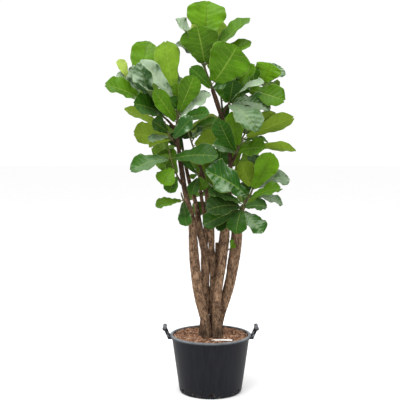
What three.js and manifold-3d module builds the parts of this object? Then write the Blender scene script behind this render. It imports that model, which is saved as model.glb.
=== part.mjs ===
// A potted fiddle leaf fig: six woody stems in one moulded nursery container, with leafy shoots.
// Millimetres, +Z up. The origin is the centre of the pot's resting face. The front is towards -Y.
import * as THREE from 'three';
import { mergeVertices } from 'three/addons/utils/BufferGeometryUtils.js';
import Module from 'manifold-3d';

const wasm = await Module();
wasm.setup();

// ---------------------------------------------------------------- driving dimensions

const GAP = 0.3; // clearance between pieces that touch
const WIDE_GAP = 1.3 * GAP; // the same where the faces slant

const POT_HEIGHT = 355;
const RIM_RADIUS = 250;
const RIM_WIDTH = 17; // of the flat on top of the rim
const LIP_OVERHANG = 11; // how far the lip stands out from the wall
const LIP_HEIGHT = 20;
const EDGE_ROUNDING = 4; // of the lip and of the foot's corner
const FOOT_RADIUS = 194;
const FOOT_ROUNDING = 14;
const WALL = 5;
const POT_SIDES = 32; // a multiple of four, so that the soil's sides lie along the pot's
const DRAIN_RADIUS = 9;
const DRAIN_HEIGHT = 19;
const DRAIN_COUNT = 6;
const DRAIN_SIDES = 6;

const HANDLE_SPREAD = 38; // from the pot's middle plane to each arm's middle
const HANDLE_ROOT = [258, 338]; // radius and height of the arm's lower end
const HANDLE_TOP = [284, 396];
const HANDLE_FOOT = { width: 28, height: 16, breadth: 18 }; // the block that joins an arm to the lip
const ARM_DEPTH = 13;
const ARM_BREADTH = 12;
const GRIP_RADIUS = 13;
const GRIP_OVERHANG = 6;
const GRIP_SIDES = 10;

const SOIL_EDGE = 338;
const SOIL_MOUND = 8; // how much higher the middle lies than the edge
const SOIL_ROUGHNESS = 3;
const SOIL_SKIRT = 8; // the soil's side starts this far below its edge
const SOIL_RINGS = [1, 0.68, 0.3]; // shares of the soil's radius with a ring of corners
const SOIL_HUB = 2; // radius of the small flats in the middle of its faces
const STEM_FOOT = 225; // how deep the stems stand
const SOIL_LINE = 358; // up to here the stems stand straight
const STEM_CLEARANCE = 0.5;

const LABEL = {
  length: 130, width: 20, thickness: 1.6, centre: [64, -132], tilt: 5, turn: -1.5,
  point: 18, corner: 4, // the pointed end's length, and the other end's rounding
  sink: 0.7, // the soil's flats lie below its swell, so the label comes down by this
};

const BLADE_THICKNESS = 1;
const RIB = 2.2; // how far the midrib stands out below
const STALK_SHARE = 0.11; // a leaf stalk's share of the leaf's length
const STALK_HALF = 3.2; // half a stalk's width at most
const STALK_OVER_BLADE = 0.04; // the same over the blade's width, for narrow blades
const STALK_THICKNESS = 3;
const FULLNESS = 1.12; // the blades' width over the widths listed with the shoots

// The places of stems and leaves are read off the front view: x and z as they appear on the
// plane y = 0 from this eye point, then pushed along the sight line to the depth y.
const EYE = [-65.6, -4800, 1510];
const PLANT_SHIFT = -4.6; // where the listed x = 0 lies, from the pot's axis

// ---------------------------------------------------------------- stems: [x, z, depth, radius]

const STEMS = {
  stem_a: {
    trunk: [
      [-18, STEM_FOOT, -67, 30], [-18, SOIL_LINE, -67, 30], [-31, 440, -62, 28], [-68, 600, -47, 31],
      [-94, 800, -28, 30], [-107, 1000, -20, 23.5], [-115, 1090, -12, 20], [-145, 1200, -5, 16],
      [-160, 1280, 0, 15], [-173, 1370, 0, 15], [-185, 1450, 0, 13.5], [-195, 1530, 0, 10.5],
      [-206, 1620, 0, 9],
    ],
    branches: [
      [[-120, 1100, -14, 9.5], [-146, 1150, -42, 8], [-158, 1176, -56, 7]],
      [[-153, 1262, 0, 10], [-178, 1290, -20, 8], [-196, 1322, -34, 7]],
      [[-190, 1512, 0, 8], [-212, 1532, -16, 7], [-226, 1548, -28, 6.5]],
      [[-203, 1600, 0, 9], [-232, 1642, 14, 8], [-262, 1674, 22, 7.5]],
    ],
  },
  stem_b: {
    trunk: [
      [-46, STEM_FOOT, -9, 24], [-46, SOIL_LINE, -9, 24], [-29, 500, 5, 25], [-28, 700, 25, 26],
      [-28, 800, 33, 26.5], [-31, 870, 34, 24.5], [-56, 975, 38, 23], [-70, 1050, 55, 20],
      [-84, 1150, 88, 14], [-122, 1280, 132, 11.5], [-150, 1400, 168, 10.5], [-164, 1480, 186, 10],
    ],
    branches: [
      [[-30, 900, 36, 17], [-24, 960, 42, 16], [-26, 1029, 50, 15], [-38, 1120, 60, 13],
       [-52, 1200, 70, 11], [-60, 1290, 84, 9], [-58, 1360, 100, 7.5]],
    ],
  },
  stem_c: {
    trunk: [
      [16, STEM_FOOT, -5, 20], [16, SOIL_LINE, -5, 20], [16, 500, 4, 20], [19, 700, 19, 20],
      [17, 800, 24, 19], [9, 900, 18, 19], [6, 1000, 14, 21], [-8, 1110, 18, 16], [-22, 1230, 28, 12],
      [-40, 1330, 34, 9], [-62, 1400, 36, 7.5],
    ],
    branches: [
      [[4, 1060, 14, 11], [24, 1120, 48, 9], [34, 1166, 78, 8]],
      [[-26, 1250, 30, 8], [-50, 1292, 10, 6], [-66, 1322, -4, 5.5]],
    ],
  },
  stem_d: {
    trunk: [
      [44, STEM_FOOT, -69, 30], [44, SOIL_LINE, -69, 30], [42, 440, -64, 28], [48, 600, -49, 25],
      [64, 720, -38, 25.5], [79, 820, -30, 25], [93, 950, -28, 26], [104, 1080, -22, 22],
      [116, 1220, -10, 17], [124, 1400, 5, 14], [116, 1520, 10, 12], [98, 1610, 8, 11],
      [67, 1700, 0, 11.5], [41, 1780, -4, 13.5], [15, 1856, -6, 11.5],
    ],
    branches: [
      [[124, 1400, 5, 10], [146, 1436, -2, 9], [158, 1462, -8, 8.5]],
      [[70, 1692, 0, 9], [92, 1730, 22, 8], [108, 1760, 40, 7.5]],
      [[100, 1600, 8, 9], [84, 1650, 70, 8], [78, 1690, 112, 7.5]],
    ],
  },
  stem_e: {
    trunk: [
      [-2, STEM_FOOT, 35, 18], [-2, SOIL_LINE, 35, 18], [20, 500, 48, 18], [38, 700, 63, 17.5],
      [46, 820, 68, 17], [50, 921, 66, 16.5],
    ],
    branches: [
      [[54, 900, 68, 7], [60, 935, 70, 6], [68, 1000, 84, 6], [84, 1110, 122, 6], [104, 1200, 160, 6]],
    ],
  },
  stem_f: {
    trunk: [
      [61, STEM_FOOT, -17, 22], [61, SOIL_LINE, -17, 22], [64, 440, -14, 21], [103, 590, -4, 30],
      [128, 700, 1, 33], [145, 800, 4, 36], [160, 900, 0, 35], [167, 1000, -6, 31],
      [182, 1080, -12, 20], [204, 1150, -16, 14],
    ],
    branches: [
      [[180, 1066, -14, 12], [188, 1098, -46, 9], [194, 1122, -72, 8]],
    ],
  },
};

// ---------------------------------------------------------------- shoots
// route: [x, z, depth, radius] from the woody end outwards.
// A leaf is [place on the route, tip x, tip z, tip depth, width, facing azimuth, facing elevation,
// arch]. The place counts the route's points from 0. The facing is where the upper side looks:
// azimuth 0 is the front and 90 is +X. The arch is the rise of the rib over the leaf's length.

const SHOOTS = {
  top_shoot: {
    from: 'stem_d',
    route: [[15, 1856, -6, 9], [-2, 1905, -10, 8.5], [-25, 1960, -14, 8], [-38, 2020, -8, 6],
      [-44, 2080, 0, 5], [-44, 2130, 6, 4]],
    leaves: [
      [4.0, -20, 2388, 70, 213, 0, 8, 0.05],
      [3.3, 240, 2288, 70, 132, -30, 56, 0.00],
      [2.7, 250, 2146, 30, 96, -10, 40, 0.00],
      [2.6, -80, 2238, -110, 200, -8, 16, 0.08],
      [0.5, 164, 2120, -150, 232, 14, 12, 0.06],
      [3.4, -208, 2284, -80, 136, 30, 58, 0.00],
      [3.0, -206, 2138, 0, 104, -20, 62, 0.06],
      [0.12, -122, 1992, -70, 84, -20, 22, 0.05],
      [4.9, -112, 2246, -60, 40, 10, 10, 0.03],
      [2.6, 96, 2150, 250, 170, 160, 34, 0.08],
      [2.2, -60, 2190, 260, 170, 200, 34, 0.08],
      [4.7, 40, 2290, 230, 160, 165, 24, 0.06],
      [0.2, 98, 1889, -60, 60, 0, 20, 0.06],
    ],
  },
  right_upper_shoot: {
    from: 'stem_d',
    route: [[108, 1760, 40, 6.5], [140, 1806, 56, 6], [190, 1850, 70, 5.5], [256, 1874, 80, 5],
      [316, 1886, 86, 4]],
    leaves: [
      [1.6, 276, 2002, -60, 122, -14, 36, 0.08],
      [4.0, 368, 2014, 60, 148, 0, 10, 0.05],
      [3.6, 438, 1990, 150, 112, 20, 40, 0.06],
      [0.4, 330, 1898, -200, 86, 0, 46, 0.08],
      [0.95, 222, 1892, 70, 112, 0, 30, 0.08],
      [2.4, 456, 1786, -30, 134, 4, 22, 0.06],
      [0.3, 370, 1736, -20, 125, 6, 40, 0.12],
      [0.15, 290, 1600, -235, 150, 8, 34, 0.12],
      [2.2, 250, 1960, 300, 150, 170, 40, 0.08],
      [3.0, 380, 1860, 310, 150, 150, 50, 0.10],
      [0.2, 140, 1916, -20, 120, 0, 14, 0.05],
      [0.1, 84, 1896, 110, 130, 0, 20, 0.06],
      [0.3, 210, 1836, 150, 120, 0, 20, 0.06],
      [0.3, 84, 1690, 90, 60, 0, 20, 0.05],
      [3.2, 262, 1990, 40, 76, 0, 14, 0.05],
    ],
  },
  right_middle_shoot: {
    from: 'stem_d',
    route: [[158, 1462, -8, 7.5], [172, 1500, -14, 7], [190, 1550, -10, 6], [212, 1590, 0, 5],
      [226, 1620, 8, 4]],
    leaves: [
      [0.9, 134, 1726, -70, 116, 16, 8, 0.06],
      [0.15, 50, 1682, -175, 108, -24, 8, 0.06],
      [0.25, 18, 1526, -100, 84, -10, 30, 0.08],
      [0.5, 336, 1502, -170, 118, 4, 30, 0.08],
      [0.8, 528, 1486, -20, 88, 178, 56, 0.05],
      [2.0, 360, 1536, 70, 70, 10, 60, 0.05],
      [2.1, 514, 1688, -30, 104, 172, 32, 0.05],
      [2.6, 300, 1620, 240, 140, 150, 40, 0.10],
      [1.6, 200, 1500, 260, 140, 170, 46, 0.10],
      [3.6, 230, 1770, 130, 130, 150, 20, 0.05],
      [3.0, 404, 1714, -8, 74, 172, 32, 0.05],
    ],
  },
  right_lower_shoot: {
    from: 'stem_f',
    route: [[204, 1150, -16, 9], [226, 1184, -20, 8], [246, 1216, -22, 7], [262, 1256, -16, 6],
      [276, 1300, -6, 5], [288, 1340, 4, 4]],
    leaves: [
      [2.5, 381, 1474, -70, 130, 10, 8, 0.05],
      [1.5, -30, 1362, -210, 188, -6, 36, 0.10],
      [3.0, 186, 1420, 20, 116, 176, 10, 0.05],
      [4.4, 276, 1462, 130, 90, 0, 20, 0.05],
      [3.4, 485, 1320, 50, 128, 0, 46, 0.10],
      [1.2, 434, 1258, -140, 94, -40, 46, 0.05],
      [1.8, 448, 1158, -10, 92, 10, 60, 0.10],
      [3.8, 330, 1390, 220, 130, 160, 40, 0.08],
      [2.8, 410, 1230, 190, 120, 130, 55, 0.10],
      [0.3, 228, 1300, 100, 70, 0, 40, 0.06],
    ],
  },
  right_bottom_shoot: {
    from: 'stem_f',
    route: [[194, 1122, -72, 7], [199, 1136, -92, 6.5], [204, 1152, -110, 5.5], [208, 1168, -124, 4]],
    leaves: [
      [1.0, 352, 1144, -110, 110, 10, 58, 0.08],
      [0.25, 326, 980, -170, 108, 10, 40, 0.06],
      [0.8, 160, 974, -190, 112, -12, 44, 0.10],
      [0.25, -44, 1028, -150, 110, -10, 35, 0.06],
      [1.4, -26, 1120, -230, 138, -6, 34, 0.10],
      [2.2, -12, 1236, -180, 100, -8, 56, 0.06],
      [0.3, -40, 1020, -60, 100, -10, 40, 0.06],
      [0.4, 40, 1000, -110, 84, -5, 40, 0.08],
    ],
  },
  left_upper_shoot: {
    from: 'stem_a',
    route: [[-206, 1620, 0, 8], [-198, 1670, -8, 7.5], [-192, 1720, -10, 7], [-198, 1770, 2, 6],
      [-214, 1820, 18, 5], [-224, 1860, 28, 4]],
    leaves: [
      [3.6, -270, 2150, 60, 139, -4, 8, 0.05],
      [1.6, -92, 1944, -80, 118, 6, 2, 0.05],
      [2.9, -206, 1894, -10, 80, -14, 10, 0.06],
      [1.2, 6, 1832, -40, 116, 20, 54, 0.05],
      [0.6, -344, 1856, -150, 96, 12, 16, 0.06],
      [2.3, -250, 1810, -50, 70, -10, 20, 0.06],
      [1.0, -2, 1712, -130, 92, 8, 32, 0.06],
      [4.2, -152, 1884, 250, 150, 150, 30, 0.08],
      [3.2, -262, 1830, 280, 124, 200, 40, 0.10],
      [3.2, -421, 2035, -60, 96, -20, 40, 0.06],
      [1.1, -350, 1772, 190, 96, 0, 20, 0.06],
    ],
  },
  left_far_shoot: {
    from: 'stem_a',
    route: [[-262, 1674, 22, 6.5], [-310, 1714, 26, 6], [-370, 1756, 22, 6], [-430, 1804, 12, 5.5],
      [-476, 1858, 4, 5], [-498, 1914, 0, 4]],
    leaves: [
      [3.4, -376, 2150, 150, 156, 0, 8, 0.05],
      [4.9, -552, 2040, 0, 60, 20, 20, 0.10],
      [3.6, -560, 1960, -10, 74, -30, 52, 0.06],
      [3.2, -462, 2006, -40, 72, -34, 12, 0.05],
      [1.4, -432, 2022, -120, 108, -24, 34, 0.06],
      [0.8, -430, 1892, -180, 84, -12, 50, 0.06],
      [2.0, -642, 1886, -110, 142, -6, 44, 0.08],
      [0.3, -466, 1770, -150, 146, -8, 30, 0.08],
      [1.3, -338, 1800, -20, 70, 0, 14, 0.05],
      [1.8, -404, 1960, 350, 126, 190, 30, 0.08],
      [3.1, -520, 1850, 240, 116, 210, 45, 0.10],
    ],
  },
  left_middle_shoot: {
    from: 'stem_a',
    route: [[-226, 1548, -28, 5.5], [-244, 1572, -40, 5.5], [-260, 1604, -44, 5], [-270, 1640, -40, 4]],
    leaves: [
      [1.7, -524, 1742, -60, 96, 178, 58, 0.05],
      [0.3, -106, 1690, -160, 86, 20, 26, 0.08],
      [0.3, -467, 1592, 50, 146, 176, 30, 0.06],
      [0.2, -374, 1506, -20, 76, 180, 66, 0.05],
      [1.6, -353, 1666, -130, 94, -10, 30, 0.08],
      [0.9, -376, 1546, -120, 70, -10, 48, 0.06],
    ],
  },
  left_lower_shoot: {
    from: 'stem_a',
    route: [[-196, 1322, -34, 6], [-212, 1362, -40, 5.5], [-228, 1402, -44, 5], [-240, 1444, -44, 4.5],
      [-246, 1472, -42, 4]],
    leaves: [
      [2.8, -488, 1362, -150, 118, -6, 42, 0.14],
      [3.8, -322, 1384, -20, 96, 0, 24, 0.10],
      [1.6, -290, 1276, -110, 112, -6, 12, 0.08],
      [0.3, -250, 1226, -90, 84, -14, 28, 0.08],
      [2.8, 52, 1450, -190, 132, 2, 34, 0.06],
      [3.9, -330, 1560, 100, 100, 170, 30, 0.08],
      [0.15, -290, 1490, 40, 120, 0, 20, 0.08],
    ],
  },
  left_bottom_shoot: {
    from: 'stem_a',
    route: [[-158, 1176, -56, 6], [-164, 1188, -64, 5.5], [-170, 1204, -70, 4.5]],
    leaves: [
      [0.5, -336, 1148, -80, 92, -4, 58, 0.05],
      [0.4, -150, 1084, -110, 50, -30, 30, 0.08],
      [0.8, -142, 1022, -96, 78, -20, 20, 0.06],
    ],
  },
  centre_shoot: {
    from: 'stem_c',
    route: [[-62, 1400, 36, 6.5], [-86, 1462, 34, 6], [-108, 1524, 24, 5.5], [-126, 1580, 14, 5],
      [-138, 1636, 8, 4]],
    leaves: [
      [2.6, -44, 1604, -100, 74, 0, 36, 0.06],
      [1.8, 44, 1580, -20, 104, 176, 28, 0.06],
      [3.4, 58, 1668, -30, 64, 4, 50, 0.06],
      [3.7, 50, 1690, 60, 62, 10, 40, 0.06],
      [2.2, 40, 1640, 250, 140, 170, 36, 0.10],
    ],
  },
  inner_shoot: {
    from: 'stem_c',
    route: [[-66, 1322, -4, 4.5], [-72, 1334, -10, 4.5], [-80, 1350, -16, 4]],
    leaves: [
      [1.4, -172, 1426, -50, 50, -10, 44, 0.05],
      [0.4, -112, 1214, -80, 66, -10, 16, 0.08],
      [0.8, -36, 1244, -30, 70, 10, 12, 0.08],
      [1.5, -120, 1318, -30, 34, 0, 30, 0.05],
    ],
  },
  rear_left_shoot: {
    from: 'stem_b',
    route: [[-164, 1480, 186, 8.5], [-172, 1540, 200, 8], [-184, 1610, 214, 7], [-196, 1680, 226, 6],
      [-204, 1740, 234, 4.5]],
    leaves: [
      [0.6, -330, 1440, 330, 140, 215, 48, 0.10],
      [0.1, -90, 1370, 390, 140, 170, 46, 0.12],
      [1.6, -350, 1600, 350, 140, 205, 40, 0.10],
      [1.9, -60, 1590, 400, 140, 165, 44, 0.10],
      [2.4, -300, 1530, 440, 140, 190, 52, 0.12],
      [2.9, -330, 1780, 380, 150, 205, 34, 0.08],
      [3.2, -140, 1790, 390, 150, 165, 34, 0.08],
      [3.8, -210, 1944, 330, 150, 185, 14, 0.05],
      [0.1, -240, 1590, 170, 90, 10, 20, 0.05],
      [1.3, -112, 1600, 228, 80, 0, 20, 0.05],
    ],
  },
  rear_upper_shoot: {
    from: 'stem_d',
    route: [[78, 1690, 112, 6.5], [74, 1740, 140, 6.5], [68, 1800, 164, 6], [64, 1860, 184, 5],
      [62, 1910, 196, 4]],
    leaves: [
      [0.6, 90, 1560, 380, 140, 175, 48, 0.12],
      [1.8, 250, 1730, 360, 140, 150, 42, 0.10],
      [2.6, 0, 1860, 420, 150, 190, 38, 0.08],
      [3.2, 190, 1930, 400, 150, 160, 30, 0.08],
      [3.7, 60, 2060, 330, 140, 180, 16, 0.05],
    ],
  },
  rear_right_shoot: {
    from: 'stem_e',
    route: [[104, 1200, 160, 5.5], [124, 1260, 184, 5.5], [144, 1320, 204, 5], [160, 1380, 220, 4.5]],
    leaves: [
      [0.5, 260, 1130, 330, 130, 150, 50, 0.12],
      [0.8, -20, 1200, 330, 130, 200, 46, 0.12],
      [1.4, 330, 1310, 380, 140, 145, 42, 0.10],
      [1.7, 70, 1360, 440, 140, 190, 42, 0.10],
      [2.3, 300, 1460, 360, 140, 150, 34, 0.08],
      [2.8, 130, 1600, 310, 130, 180, 16, 0.05],
    ],
  },
  rear_lower_shoot: {
    from: 'stem_c',
    route: [[34, 1166, 78, 7], [38, 1200, 100, 6.5], [40, 1240, 124, 6], [40, 1280, 142, 4.5]],
    leaves: [
      [0.5, 30, 1040, 280, 120, 180, 44, 0.12],
      [1.2, -150, 1180, 290, 130, 205, 46, 0.10],
      [1.8, 10, 1290, 370, 130, 185, 40, 0.10],
      [2.6, -60, 1420, 260, 120, 190, 20, 0.06],
      [2.9, 66, 1506, 190, 110, 0, 20, 0.06],
      [0.2, -108, 1112, 130, 84, 0, 20, 0.05],
    ],
  },
  stem_sprout: {
    from: 'stem_d',
    route: [[98, 868, -32, 3.2], [121, 882, -38, 3], [130, 896, -40, 2.5]],
    leaves: [
      [1.0, 160, 908, -46, 26, 0, 40, 0.05],
      [1.6, 138, 944, -52, 24, 0, 10, 0.05],
    ],
  },
};

// ---------------------------------------------------------------- small helpers

const v3 = (x, y, z) => new THREE.Vector3(x, y, z);

/** A place seen at (x, z) on the plane y = 0, pushed along its sight line to depth y. */
function seen(x, z, y) {
  const reach = (y - EYE[1]) / -EYE[1];
  const beside = (x + PLANT_SHIFT - EYE[0]) * reach;
  return v3(EYE[0] + beside, y, EYE[2] + (z - EYE[2]) * reach);
}

/** A repeatable draw between 0 and 1 for a leaf's number and a purpose. */
function draw(number, purpose) {
  const swing = Math.sin(number * 12.9898 + purpose * 78.233) * 43758.5453;
  return swing - Math.floor(swing);
}

/** A closed geometry from corner points and faces, as a solid for joining and cutting. */
function solidOf(points, faces) {
  const vertProperties = new Float32Array(points.flatMap((p) => [p.x, p.y, p.z]));
  const triVerts = new Uint32Array(faces.flat());
  return new wasm.Manifold(new wasm.Mesh({ numProp: 3, vertProperties, triVerts }));
}

/** A three.js geometry as a solid. */
function solidFrom(geometry) {
  const bare = geometry.clone();
  bare.deleteAttribute('normal');
  bare.deleteAttribute('uv');
  const merged = mergeVertices(bare, 1e-4);
  return new wasm.Manifold(new wasm.Mesh({
    numProp: 3,
    vertProperties: new Float32Array(merged.attributes.position.array),
    triVerts: new Uint32Array(merged.index.array),
  }));
}

/** A solid back as a three.js geometry. */
function geometryOf(solid) {
  const { vertProperties, triVerts } = solid.getMesh();
  const geometry = new THREE.BufferGeometry();
  geometry.setAttribute('position', new THREE.BufferAttribute(new Float32Array(vertProperties), 3));
  geometry.setIndex(new THREE.BufferAttribute(new Uint32Array(triVerts), 1));
  geometry.computeVertexNormals();
  return geometry;
}

const joined = (solids) => solids.reduce((sum, solid) => sum.add(solid));

/** Faces of a loft between rings of equal size, with a fan at each end. Flipped strips split the
 *  other way, so that a thin blade is split alike on both faces. */
function loft(rings, flipped = [], fanCorner = 0) {
  const size = rings[0].length;
  const faces = [];
  for (let i = 0; i + 1 < rings.length; i++) {
    for (let j = 0; j < size; j++) {
      const k = (j + 1) % size;
      const [a, b, c, d] = [i * size + j, i * size + k, (i + 1) * size + k, (i + 1) * size + j];
      if (flipped.includes(j)) faces.push([a, b, d], [b, c, d]);
      else faces.push([a, b, c], [a, c, d]);
    }
  }
  const last = (rings.length - 1) * size;
  for (let step = 1; step + 1 < size; step++) {
    const near = (fanCorner + step) % size;
    const far = (fanCorner + step + 1) % size;
    faces.push([fanCorner, far, near], [last + fanCorner, last + near, last + far]);
  }
  return solidOf(rings.flat(), faces);
}

/** Directions along a path of points, one at each point. */
function headings(path) {
  return path.map((point, i) => {
    const before = path[Math.max(i - 1, 0)];
    const after = path[Math.min(i + 1, path.length - 1)];
    return after.clone().sub(before).normalize();
  });
}

/** A tapering round rod through [x, z, depth, radius] rows, grown all round by a clearance. */
function rod(rows, sides, swell = 0, grow = 0) {
  const path = rows.map(([x, z, y]) => seen(x, z, y));
  const along = headings(path);
  path[path.length - 1].addScaledVector(along[path.length - 1], grow);
  const rings = path.map((centre, i) => {
    const up = along[i];
    const across = v3(0, 1, 0).addScaledVector(up, -up.y).normalize();
    const beside = up.clone().cross(across);
    return Array.from({ length: sides }, (_, j) => {
      const turn = (j / sides) * 2 * Math.PI;
      const knot = swell * (draw(i * sides + j, rows.length) - 0.5);
      const radius = rows[i][3] * (1 + knot) + grow;
      return centre.clone()
        .addScaledVector(across, radius * Math.cos(turn))
        .addScaledVector(beside, radius * Math.sin(turn));
    });
  });
  return loft(rings);
}

// ---------------------------------------------------------------- pot

const rimInner = RIM_RADIUS - RIM_WIDTH;
const lipBase = POT_HEIGHT - LIP_HEIGHT;
const wallTop = RIM_RADIUS - LIP_OVERHANG;

/** The inside radius of the pot's wall at a height. */
function insideRadius(z) {
  const share = (z - FOOT_ROUNDING) / (lipBase - FOOT_ROUNDING);
  return THREE.MathUtils.lerp(FOOT_RADIUS, wallTop, share) - WALL;
}

function potShell() {
  const outline = [
    [0, 0], [FOOT_RADIUS - FOOT_ROUNDING, 0], [FOOT_RADIUS - EDGE_ROUNDING, EDGE_ROUNDING],
    [FOOT_RADIUS, FOOT_ROUNDING], [wallTop, lipBase], [RIM_RADIUS, lipBase + EDGE_ROUNDING],
    [RIM_RADIUS, POT_HEIGHT - EDGE_ROUNDING], [RIM_RADIUS - EDGE_ROUNDING, POT_HEIGHT],
    [rimInner, POT_HEIGHT], [insideRadius(lipBase), lipBase - EDGE_ROUNDING],
    [insideRadius(FOOT_ROUNDING + WALL), FOOT_ROUNDING + WALL],
    [FOOT_RADIUS - FOOT_ROUNDING, WALL], [0, WALL],
  ];
  const profile = outline.map(([r, z]) => new THREE.Vector2(r, z));
  return new THREE.LatheGeometry(profile, POT_SIDES).rotateX(Math.PI / 2);
}

/** One handle on the +X side: two leaning arms and a round grip between them. */
function handle() {
  const [rootX, rootZ] = HANDLE_ROOT;
  const [topX, topZ] = HANDLE_TOP;
  const lean = Math.atan2(topX - rootX, topZ - rootZ);
  const length = Math.hypot(topX - rootX, topZ - rootZ);
  const pieces = [-1, 1].map((end) => {
    const arm = new THREE.BoxGeometry(ARM_DEPTH, ARM_BREADTH, length);
    arm.rotateY(lean).translate((rootX + topX) / 2, end * HANDLE_SPREAD, (rootZ + topZ) / 2);
    const { width, height, breadth } = HANDLE_FOOT;
    const foot = new THREE.BoxGeometry(width, breadth, height);
    foot.translate(rootX + (ARM_DEPTH - width) / 2, end * HANDLE_SPREAD, rootZ);
    return solidFrom(arm).add(solidFrom(foot));
  });
  const reach = 2 * (HANDLE_SPREAD + ARM_BREADTH / 2 + GRIP_OVERHANG);
  const grip = new THREE.CylinderGeometry(GRIP_RADIUS, GRIP_RADIUS, reach, GRIP_SIDES);
  return joined([...pieces, solidFrom(grip.translate(topX, 0, topZ))]);
}

function potGeometry() {
  let pot = solidFrom(potShell());
  const right = handle();
  pot = pot.add(right).add(right.rotate([0, 0, 180]));
  for (let i = 0; i < DRAIN_COUNT; i++) {
    const drain = new THREE.CylinderGeometry(DRAIN_RADIUS, DRAIN_RADIUS, 6 * WALL, DRAIN_SIDES);
    drain.rotateZ(Math.PI / 2).translate(FOOT_RADIUS, 0, DRAIN_HEIGHT + DRAIN_RADIUS);
    drain.rotateZ(((i + 0.5) / DRAIN_COUNT) * 2 * Math.PI);
    pot = pot.subtract(solidFrom(drain));
  }
  return geometryOf(pot);
}

// ---------------------------------------------------------------- soil and label

/** The soil's height at a place in the pot. */
function soilHeight(x, y) {
  const out = Math.min(Math.hypot(x, y) / rimInner, 1);
  const bumps = Math.sin(x * 0.061 + 1) * Math.cos(y * 0.053) + Math.sin((x + y) * 0.09) * 0.6;
  return SOIL_EDGE + SOIL_MOUND * (1 - out * out) + SOIL_ROUGHNESS * bumps;
}

function soilGeometry() {
  const circle = (radius, height) => Array.from({ length: POT_SIDES }, (_, j) => {
    const turn = (j / POT_SIDES) * 2 * Math.PI;
    const [x, y] = [radius * Math.cos(turn), radius * Math.sin(turn)];
    return v3(x, y, height(x, y));
  });
  const floor = FOOT_ROUNDING + WALL + SOIL_HUB;
  const skirt = SOIL_EDGE - SOIL_SKIRT;
  const clear = (z) => insideRadius(z) - WIDE_GAP;
  const edge = clear(skirt);
  const rings = [
    circle(SOIL_HUB, () => floor), circle(clear(floor), () => floor), circle(edge, () => skirt),
  ];
  for (const share of SOIL_RINGS) rings.push(circle(edge * share, soilHeight));
  let soil = loft(rings);
  for (const { trunk } of Object.values(STEMS)) {
    const [x, foot, y, radius] = trunk[0];
    const hole = [[x, foot - STEM_CLEARANCE, y, radius], [x, POT_HEIGHT + STEM_FOOT, y, radius]];
    soil = soil.subtract(rod(hole, STEM_SIDES, 0, STEM_CLEARANCE));
  }
  return geometryOf(soil);
}

function labelMesh() {
  const { length, width, thickness, centre, tilt, turn, point, corner, sink } = LABEL;
  const shape = new THREE.Shape();
  const half = width / 2;
  const end = length / 2;
  shape.moveTo(-end, 0);
  shape.lineTo(point - end, -half);
  shape.lineTo(end - corner, -half);
  shape.quadraticCurveTo(end, -half, end, corner - half);
  shape.lineTo(end, half - corner);
  shape.quadraticCurveTo(end, half, end - corner, half);
  shape.lineTo(point - end, half);
  const options = { depth: thickness, bevelEnabled: false, curveSegments: 2 };
  const geometry = new THREE.ExtrudeGeometry(shape, options);
  geometry.rotateX(THREE.MathUtils.degToRad(tilt)).rotateZ(THREE.MathUtils.degToRad(turn));
  geometry.translate(centre[0], centre[1], 0);
  const points = geometry.attributes.position;
  let rise = 0;
  for (let i = 0; i < points.count; i++) {
    rise = Math.max(rise, soilHeight(points.getX(i), points.getY(i)) - points.getZ(i));
  }
  geometry.translate(0, 0, rise - sink);
  return geometryOf(solidFrom(geometry));
}

// ---------------------------------------------------------------- stems

const STEM_SIDES = 9;
const BRANCH_SIDES = 6;
const TWIG_SIDES = 5;
const BARK_SWELL = 0.09;

function stemSolid({ trunk, branches }, grow = 0) {
  const limbs = branches.map((branch) => rod(branch, BRANCH_SIDES, BARK_SWELL, grow));
  return joined([rod(trunk, STEM_SIDES, 0, grow), ...limbs]);
}

// ---------------------------------------------------------------- leaves

// The blade's half width along its length, as a share of the widest half width.
const OUTLINE = [[0, 0.1], [0.2, 0.48], [0.42, 0.73], [0.65, 1], [0.84, 0.94], [0.95, 0.66], [1, 0.22]];
const EDGE_SWELL = 0.035; // how far a blade's edge swings in and out, as a share of its half width
const SWELL_TURNS = 11; // radians of that swing along a blade
const FOLD = [0.08, 0.19]; // how far the edges stand up from the rib, least and most, over the width
const RIPPLE = [0.03, 0.065]; // of the edges, least and most, over the width
const RIPPLE_TURNS = 14; // radians of the ripple along a blade
const SWEEP = 0.05; // how far a rib may bend sideways, over the leaf's length
const LEAVES_AT_MOST = 20; // on one shoot, so that each leaf has draws of its own

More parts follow.
